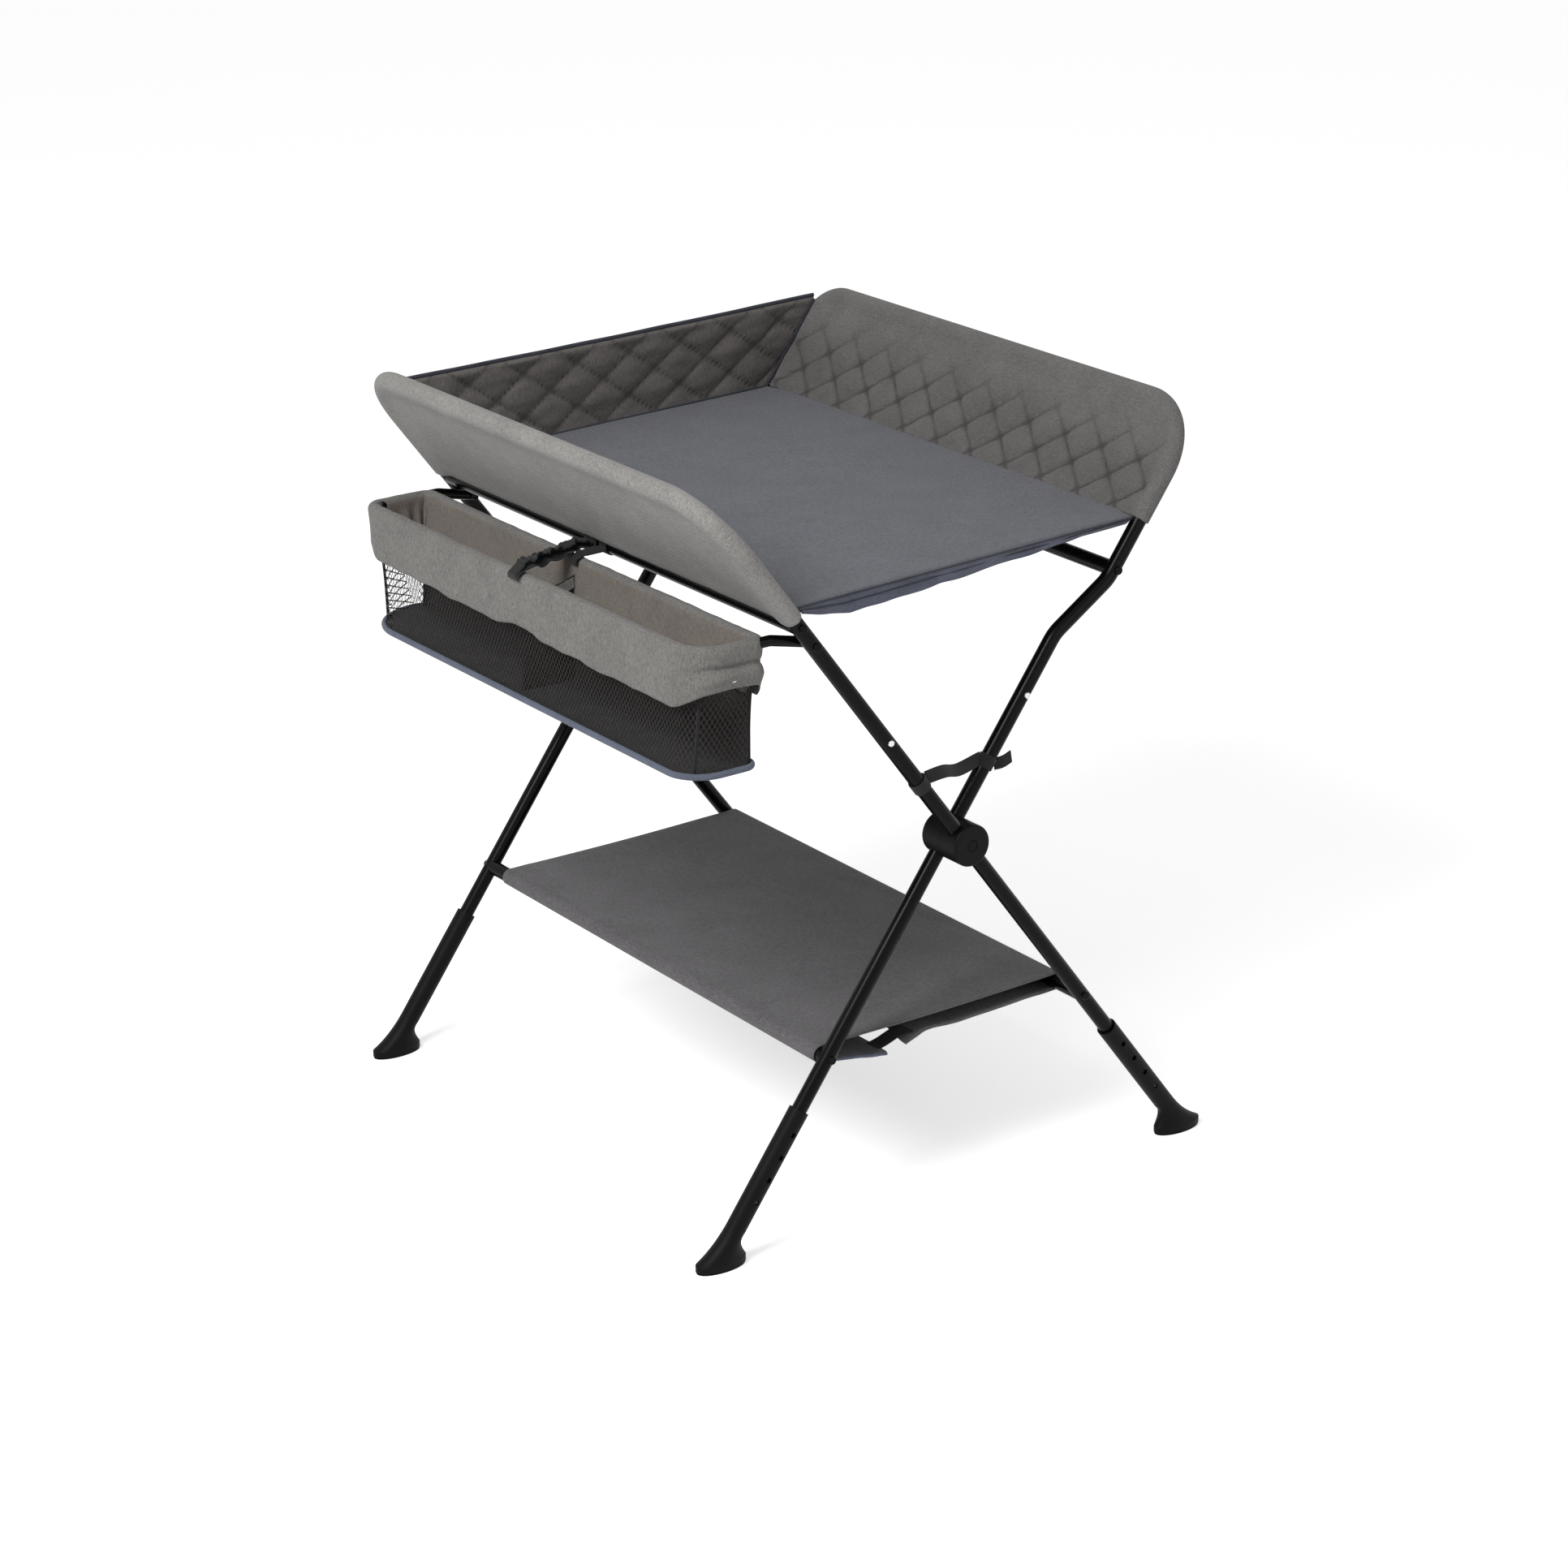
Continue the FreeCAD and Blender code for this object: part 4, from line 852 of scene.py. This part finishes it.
def basket_loop(outer_rear, grow=0.0):
    """Matching points round the basket's outline: rear inner, rear outer, front outer, front inner."""
    radii = np.array([0.012, outer_rear, 0.040, 0.012]) + grow
    corners = [(rim_x[1] + grow, rim_y[1] + grow), (rim_x[0] - grow, rim_y[1] + grow),
               (rim_x[0] - grow, rim_y[0] - grow), (rim_x[1] + grow, rim_y[0] - grow)]
    arcs = []
    for k, ((x, y), radius) in enumerate(zip(corners, radii)):
        centre = np.array([x - math.copysign(radius, x - sum(rim_x) / 2),
                           y - math.copysign(radius, y - sum(rim_y) / 2)])
        turn = np.linspace(k * math.pi / 2, (k + 1) * math.pi / 2, arc_points)
        arcs.append(centre + radius * np.stack([np.cos(turn), np.sin(turn)], 1))
    loop = []
    for k, count in enumerate((end_points, side_points) * 2):
        share = np.linspace(0, 1, count + 1)[1:-1, None]
        loop += [arcs[k], arcs[k][-1] + (arcs[(k + 1) % 4][0] - arcs[k][-1]) * share]
    return np.vstack(loop)


def basket_level(share, grow=0.0):
    """The outline and its outward directions at a share of the way from the rim to the floor."""
    line = basket_loop(0.016, grow) * (1 - share) + \
        (basket_loop(0.070, grow) - np.array([floor_shift, 0])) * share
    ahead = np.roll(line, -1, 0) - np.roll(line, 1, 0)
    ahead /= np.linalg.norm(ahead, axis=1, keepdims=True)
    return line, np.stack([ahead[:, 1], -ahead[:, 0]], 1)


def ripples(line, rate, level):
    """Smooth random values from -1 to 1 at the points of an outline."""
    return np.array([noise.noise(Vector((p[0] * rate, p[1] * rate, level))) for p in line])


def rim_band():
    """The folded hem all round the rim, as one cloth."""
    line, outward = basket_level(0.0)
    count, deep = len(line), rim_z - net_low
    at = distances(line)
    front_end = ease(-line[:, 1], -rim_y[0] - 0.045, -rim_y[0] - 0.004) * np.abs(outward[:, 1])
    rear_end = ease(line[:, 1], rim_y[1] - 0.045, rim_y[1] - 0.004) * np.abs(outward[:, 1])
    ends = np.maximum(front_end, rear_end)
    lengthwise = (rim_y[1] - line[:, 1]) / (rim_y[1] - rim_y[0])
    ripple = ripples(line, 21, 8.8)
    small = ripples(line, 70, 2.8)
    drop_out = np.interp(lengthwise, [0, 0.2, 0.4, 0.48, 0.6, 0.9, 1],
                         hem_drops) - 0.022 * ends + 0.003 * ripple
    drop_in = 0.060 - 0.012 * ends + 0.003 * ripple
    gather = np.sin(at * 2 * math.pi / 0.019 + 5 * ripple) * ends
    radius, rows = 0.0074, []
    for share in np.linspace(1, 0, 17):
        press = ripples(line, 30, share * 1.4)
        pleat = 0.0045 * math.exp(-((share - 0.68) / 0.17) ** 2) - \
            0.0050 * math.exp(-((share - 0.40) / 0.07) ** 2)
        folds = 0.0024 * gather * (1 - front_end) + 0.0022 * press + 0.0009 * small
        off = radius + share * folds + \
            front_end * pleat
        rows.append((off, -share * drop_out))
    for turn in np.linspace(0, math.pi, 9)[1:-1]:
        rows.append((radius * math.cos(turn) * (1 + 0.06 * small),
                     radius * math.sin(turn) * (1 + 0.08 * ripple + 0.08 * small)))
    for share in np.linspace(0, 1, 15):
        press = ripples(line, 26, 4 + share * 1.4)
        off = -radius - share * (0.0038 * gather + 0.0022 * press + 0.0006)
        rows.append((off, -share * drop_in))
    grid = []
    for off, height in rows:
        height = np.broadcast_to(height, off.shape)
        down = np.clip(-height / deep, 0, 1)[:, None]
        top, foot = basket_level(0.0)[0], basket_level(1.0)[0]
        grid.append(np.concatenate([top * (1 - down) + foot * down + outward * off[:, None],
                                    (rim_z + height)[:, None]], 1))
    band = mesh_piece("basket_rim_cloth", np.vstack(grid), grid_faces(len(rows), count, ring=True),
                      heather_band)
    # the layer hanging inside the basket takes a darker, browner copy of the cloth: painted shade
    band.data.materials.append(shaded_band_inside)
    inside_rows = (len(rows) - 16) * count
    for index, polygon in enumerate(band.data.polygons):
        polygon.material_index = int(index > inside_rows)
    thicken(band, 0.0011)
    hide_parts("basket_rim_band")
    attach(band, "basket")


hem_drops = [0.058, 0.058, 0.063, 0.056, 0.061, 0.064, 0.066]
heather_band = woven("band of heather cloth", "#535150", "#75736f", 1.7, 2.6, 0.3, mottle=0.15)
# a darker, browner copy of the band's heather cloth, as painted shade inside the basket
shaded_band_inside = woven("inside of the heather band in painted shade", "#57514c", "#726b65", 1.7, 2.6, 0.3, mottle=0.2)
rim_band()


# Basket netting. Knitted black polyester net for the outer side and the two ends, with taped corner seams.
# Its diamonds are 7 mm wide and 10 mm tall. The side next to the legs and the partition are thin dark cloth.
def netting(name):
    """Black threads on two diagonals; what lies between them is open."""
    material, tree, shader = start_material(name, Roughness=0.7, Specular_IOR_Level=0.2)
    place = add(tree, "TexCoord", {}).outputs["Object"]
    across = add(tree, "Attribute", {}, attribute_name="net_length").outputs[2]
    height = add(tree, "SeparateXYZ", {0: place}).outputs[2]
    sideways = add(tree, "Math", {0: across, 1: math.pi * per_metre(7.0)},
                   operation="MULTIPLY").outputs[0]
    upward = add(tree, "Math", {0: height, 1: math.pi * per_metre(10.0)},
                 operation="MULTIPLY").outputs[0]
    threads = []
    for sign in ("ADD", "SUBTRACT"):
        slant = add(tree, "Math", {0: sideways, 1: upward}, operation=sign).outputs[0]
        wave = add(tree, "Math", {0: slant}, operation="SINE").outputs[0]
        threads.append(add(tree, "Math", {0: wave}, operation="ABSOLUTE").outputs[0])
    nearest = add(tree, "Math", {0: threads[0], 1: threads[1]}, operation="MINIMUM").outputs[0]
    solid = add(tree, "MapRange", {0: nearest, 1: 0.22, 2: 0.32, 3: 1.0, 4: 0.0}).outputs[0]
    fuzz = add(tree, "TexNoise", {0: place, "Scale": per_metre(2.5)}).outputs[0]
    colour = add(tree, "Mix", {0: fuzz, 6: linear("#171616"), 7: linear("#332f2e")},
                 data_type="RGBA")
    feed(tree, shader, Base_Color=colour.outputs[2], Alpha=solid)
    return material


def basket_walls():
    """The net from the rear end round the outer side to the front end, and the cloth of the inner side."""
    rows, grid = 20, []
    for share in np.linspace(0, 1, rows):
        line, outward = basket_level(share)
        press = ripples(line, 14, 2 + share)
        off = math.sin(math.pi * share) * (0.0014 * press - 0.0035)
        height = rim_z - 0.008 - (rim_z - 0.008 - net_low) * share
        grid.append(np.concatenate([line + outward * off[:, None], np.full((len(line), 1), height)],
                                   1))
    grid = np.stack(grid)
    # columns of the corners' middles, from the rear inner one on; the net ends with the last corner
    first, corner = arc_points // 2, arc_points + end_points - 1
    netted = 2 * (corner + arc_points) + side_points - 1
    outer = grid[:, first:netted]
    inner = np.concatenate([grid[:, netted - 1:], grid[:, :first + 1]], 1)
    net = mesh_piece("basket_netting", outer.reshape(-1, 3), grid_faces(rows, netted - first),
                     net_cloth)
    side = mesh_piece("basket_inner_side", inner.reshape(-1, 3), grid_faces(rows, inner.shape[1]),
                      dark_cloth)
    # the distance round the basket at each point, along which the diamonds repeat
    length = net.data.attributes.new("net_length", "FLOAT", "POINT")
    length.data.foreach_set("value", np.tile(distances(outer[0]), rows).astype(np.float32))
    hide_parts("basket_mesh")
    seams = []
    for column in (first, corner + first, netted - corner - first, netted - first):
        seams.append(tube_along(f"basket_corner_seam_{len(seams)}", grid[5:, column], 0.0019,
                                webbing, 8))
    for piece in [net, side] + seams:
        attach(piece, "basket")


def partition():
    """The cloth across the basket and the heather hem along its top."""
    y = middle("basket_divider").y
    low_x, high_x = rim_x[0] + 0.0095, rim_x[1] - 0.0095
    u, v = np.meshgrid(np.linspace(0, 1, 30), np.linspace(0, 1, 30))
    top = rim_z - 0.012
    z = top - (top - net_low) * v - 0.008 * np.sin(math.pi * u) * (1 - v)
    x = between(low_x, high_x, u) - floor_shift * v
    bulge = crumpled(x, 0 * x, z, 40, 1.9)
    grid = np.stack([x, y + 0.003 * bulge, z], -1)
    net = mesh_piece("basket_partition_cloth", grid.reshape(-1, 3), grid_faces(30, 30), dark_cloth)
    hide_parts("basket_divider")
    hem = band_along("basket_partition_hem", grid[2], np.tile([0.0, 0.25, 1.0], (30, 1)), 0.014,
                     0.0030,
                     heather_band)
    for piece, slot in ((net, "black_net"), (hem, "wall_fabric")):
        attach(piece, "basket")


net_cloth = netting("knitted black net")
dark_cloth = woven("thin dark basket cloth", "#211e1d", "#34302e", 2.4, 3.0, 0.15)
basket_walls()
partition()


# Basket floor. A stiff board in coated dark cloth, laid on the lower edge of the netting; a slate blue
# binding closes the seam all round it.
def basket_floor():
    """The padded floor board and its binding."""
    low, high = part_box("basket_base")
    length = high.y - low.y
    back = spaced(length, 0.074, 0.008)
    across = spaced(1.0, 0.06, 0.05)

    def inset(front_size, rear_size):
        gaps = []
        for size, away in ((front_size, back), (rear_size, length - back)):
            gap = np.clip(size - away, 0, size)
            gaps.append(size - np.sqrt(size ** 2 - gap ** 2))
        return np.maximum(*gaps)

    left, right = low.x + inset(0.040, 0.070), high.x - inset(0.012, 0.012)
    x = left[:, None] + (right - left)[:, None] * across[None, :]
    y = np.repeat((low.y + back)[:, None], len(across), 1)
    edge = np.minimum(np.minimum(x - left[:, None], right[:, None] - x),
                      np.minimum(y - low.y, high.y - y))
    sag = 0.0016 * ease(edge, 0, 0.03)
    waves = crumpled(x, y, 0 * x, 38, 3.9) * 0.0016
    upper = np.stack([x, y, high.z + waves * ease(edge, 0, 0.02) - sag], -1)
    lower = np.stack([x, y, low.z - sag * 0.4 + 0 * x], -1)
    board = pillow("basket_floor_board", lower, upper, floor_cloth)
    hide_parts("basket_base")
    line, outward = basket_level(1.0, 0.0035)
    count, centre_z = len(line), (low.z + high.z) / 2
    wobble = ripples(line, 18, 0.7)
    ring = np.concatenate([line + outward * 0.0008 * wobble[:, None],
                           (centre_z + 0.0006 * wobble)[:, None]], 1)
    angles = np.linspace(0, 2 * math.pi, 12, endpoint=False)
    sideways = np.concatenate([outward, np.zeros((count, 1))], 1)
    rolled = ring[:, None] + 0.0031 * np.cos(angles)[None, :, None] * sideways[:, None] + \
        0.0040 * np.sin(angles)[None, :, None] * np.array([0, 0, 1.0])
    faces = [[index % (count * 12) for index in face]
             for face in grid_faces(count + 1, 12, ring=True)]
    binding = mesh_piece("basket_floor_binding", rolled.reshape(-1, 3), faces, slate)
    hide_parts("basket_base_piping")
    for piece, slot in ((board, "basket_floor_cloth"), (binding, "slate_binding")):
        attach(piece, "basket")


floor_cloth = woven("coated dark basket cloth", "#100f0f", "#211f1f", 2.2, 3.0, 0.15)
basket_floor()


# Press studs. Pressed brass shells with a bright nickel plate, set through both layers of the band.
nickel = moulded("bright nickel plate", "#d5d5d2", "#efefec", 0.9, 0.01, 0.18, 0.3, Metallic=0.75)
finish_nodes(nickel, "zinc", "basket_press_studs")


# Basket straps. Two lengths of black webbing, sewn in a loop round the left cross tube and caught over the
# basket's rim. The wide one lies crumpled, its two plies of loop tape bunched together; the narrow one is taut.
def basket_strap(name, node, far_x, far_y, bunch):
    """The loop round the cross tube and the web that runs to a hook over one side of the rim."""
    low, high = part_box(node)
    y, width = (low.y + high.y) / 2, high.y - low.y
    tube = middle("left_cross_tube")
    radius = wrap_radius
    turns = np.linspace(0.35 * math.pi, 2.28 * math.pi, 40)
    ring = np.stack([tube.x + radius * np.cos(turns), np.full(40, y),
                     tube.z + radius * np.sin(turns)], 1)
    loop = band_along(name + "_loop", ring, np.tile([0, 1.0, 0], (40, 1)), width * 0.9, 0.0015,
                      webbing)
    top = rim_z + 0.0095
    share = np.linspace(0, 1, 6)[1:-1, None]
    start, rim = np.array([tube.x - radius, y,
                           tube.z - 0.002]), np.array([far_x, far_y, top + 0.0022])
    knots = np.vstack([start, start + (rim - start) * share, rim, rim + [-0.0108, -0.001, -0.0050],
                       rim + [-0.0120, -0.001, -0.011]])
    knots[1:5, 2] += bunch * np.array([0.003, 0.001, 0.0025, 0.0015])
    count = 150 if bunch else 40
    line = curve_through(knots, count)
    at = np.linspace(0, 1, count)
    loose = bunch * ease(at, 0.0, 0.15) * (1 - 0.6 * ease(at, 0.8, 0.95))
    settled = 1 - ease(at, 0.66, 0.86)          # the webbing lies flat where it bends over the rim
    tilt = (0.25 + loose * 0.55 * waver(at, 9, 4.4)) * settled
    across = np.stack([0 * at, np.cos(tilt), np.sin(tilt)], 1)
    webs = [band_along(name, line, across, width * (0.80 if bunch else 0.9), 0.0016, webbing)]
    if bunch:
        lift = waver(at, 26, 0, 1.4)
        upper = line + np.stack([0 * at, 0.003 * np.sin(at * 40), 0.0062 + 0.0035 * lift],
                                1) * loose[:, None]
        webs.append(band_along(name + "_upper_ply", upper, across * [1, 1, -1], width * 0.62,
                               0.0022, webbing))
    for web in webs:
        if bunch:
            points = points_of(web)
            free = ease(points[:, 0], far_x + 0.012, far_x + 0.034)
            points += np.array([0, 0.4, 1.0]) * (crumple(points, 8, 2.2) * 0.0022 * free)[:, None]
            move_points(web, points)
        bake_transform(web)
    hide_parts(node)
    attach(loop, "left_frame")


basket_strap("basket_outer_webbing", "basket_outer_strap", rim_x[0], -0.012, 1.0)
basket_strap("basket_inner_webbing", "basket_inner_strap", rim_x[1], -0.0085, 0.0)


# Studio. A pale seamless floor, a wide soft lamp from the upper left, a weak one from the front, and a
# plain white surround that only the eye, reflections and glass see at full strength.
def soft_lamp(name, place, aim, size, power):
    """A square soft lamp aimed at a point."""
    lamp = bpy.data.objects.new(name, bpy.data.lights.new(name, "AREA"))
    lamp.data.size, lamp.data.energy = size, power
    lamp.location = place
    lamp.rotation_mode = "QUATERNION"
    lamp.rotation_quaternion = (Vector(aim) - Vector(place)).to_track_quat("-Z", "Y")
    bpy.context.scene.collection.objects.link(lamp)


soft_lamp("key_lamp", (-2.6, -0.9, 3.0), (0, 0, 0.6), 1.5, 112)
soft_lamp("front_lamp", (0.8, -3.6, 1.6), (0, 0, 0.5), 2.4, 18)
surround = bpy.data.worlds.new("surround")
surround.use_nodes = True
bpy.context.scene.world = surround
sky = surround.node_tree
rays = add(sky, "LightPath", {}).outputs
seen = add(sky, "Math", {0: rays["Is Camera Ray"], 1: rays["Is Glossy Ray"]},
           operation="MAXIMUM").outputs[0]
seen = add(sky, "Math", {0: seen, 1: rays["Is Transmission Ray"]}, operation="MAXIMUM").outputs[0]
level = add(sky, "MapRange", {0: seen, 3: 0.54, 4: 1.0}).outputs[0]
white = sky.nodes["Background"]
white.inputs["Color"].default_value = (1.0, 1.0, 1.0, 1.0)
feed(sky, white, Strength=level)

half_floor = 24.0
floor_level = -0.0005
floor_points = [(x * half_floor, y * half_floor, floor_level)
                for x, y in ((-1, -1), (1, -1), (1, 1), (-1, 1))]
paper, paper_tree, paper_shader = start_material("matt white paper", Roughness=0.95,
                                                 Specular_IOR_Level=0.1,
                                                  Emission_Color=(1.0, 1.0, 1.0, 1.0))
paper_grain = add(paper_tree, "TexNoise", {"Scale": per_metre(300)}).outputs[0]
paper_colour = add(paper_tree, "Mix", {0: paper_grain, 6: linear("#f4f4f4"), 7: linear("#f8f8f8")},
                   data_type="RGBA")
# only the eye and reflections see the paper's extra brightness, so the table gets none of it as light
paper_rays = add(paper_tree, "LightPath", {}).outputs
paper_seen = add(paper_tree, "Math", {0: paper_rays["Is Camera Ray"],
                                      1: paper_rays["Is Glossy Ray"]},
                 operation="MAXIMUM").outputs[0]
paper_glow = add(paper_tree, "MapRange", {0: paper_seen, 3: 0.0, 4: 0.45}).outputs[0]
feed(paper_tree, paper_shader, Base_Color=paper_colour.outputs[2], Emission_Strength=paper_glow)
floor = mesh_piece("studio_floor", floor_points, [(0, 1, 2, 3)], paper, smooth=False)
bpy.context.scene.view_settings.view_transform = "Standard"
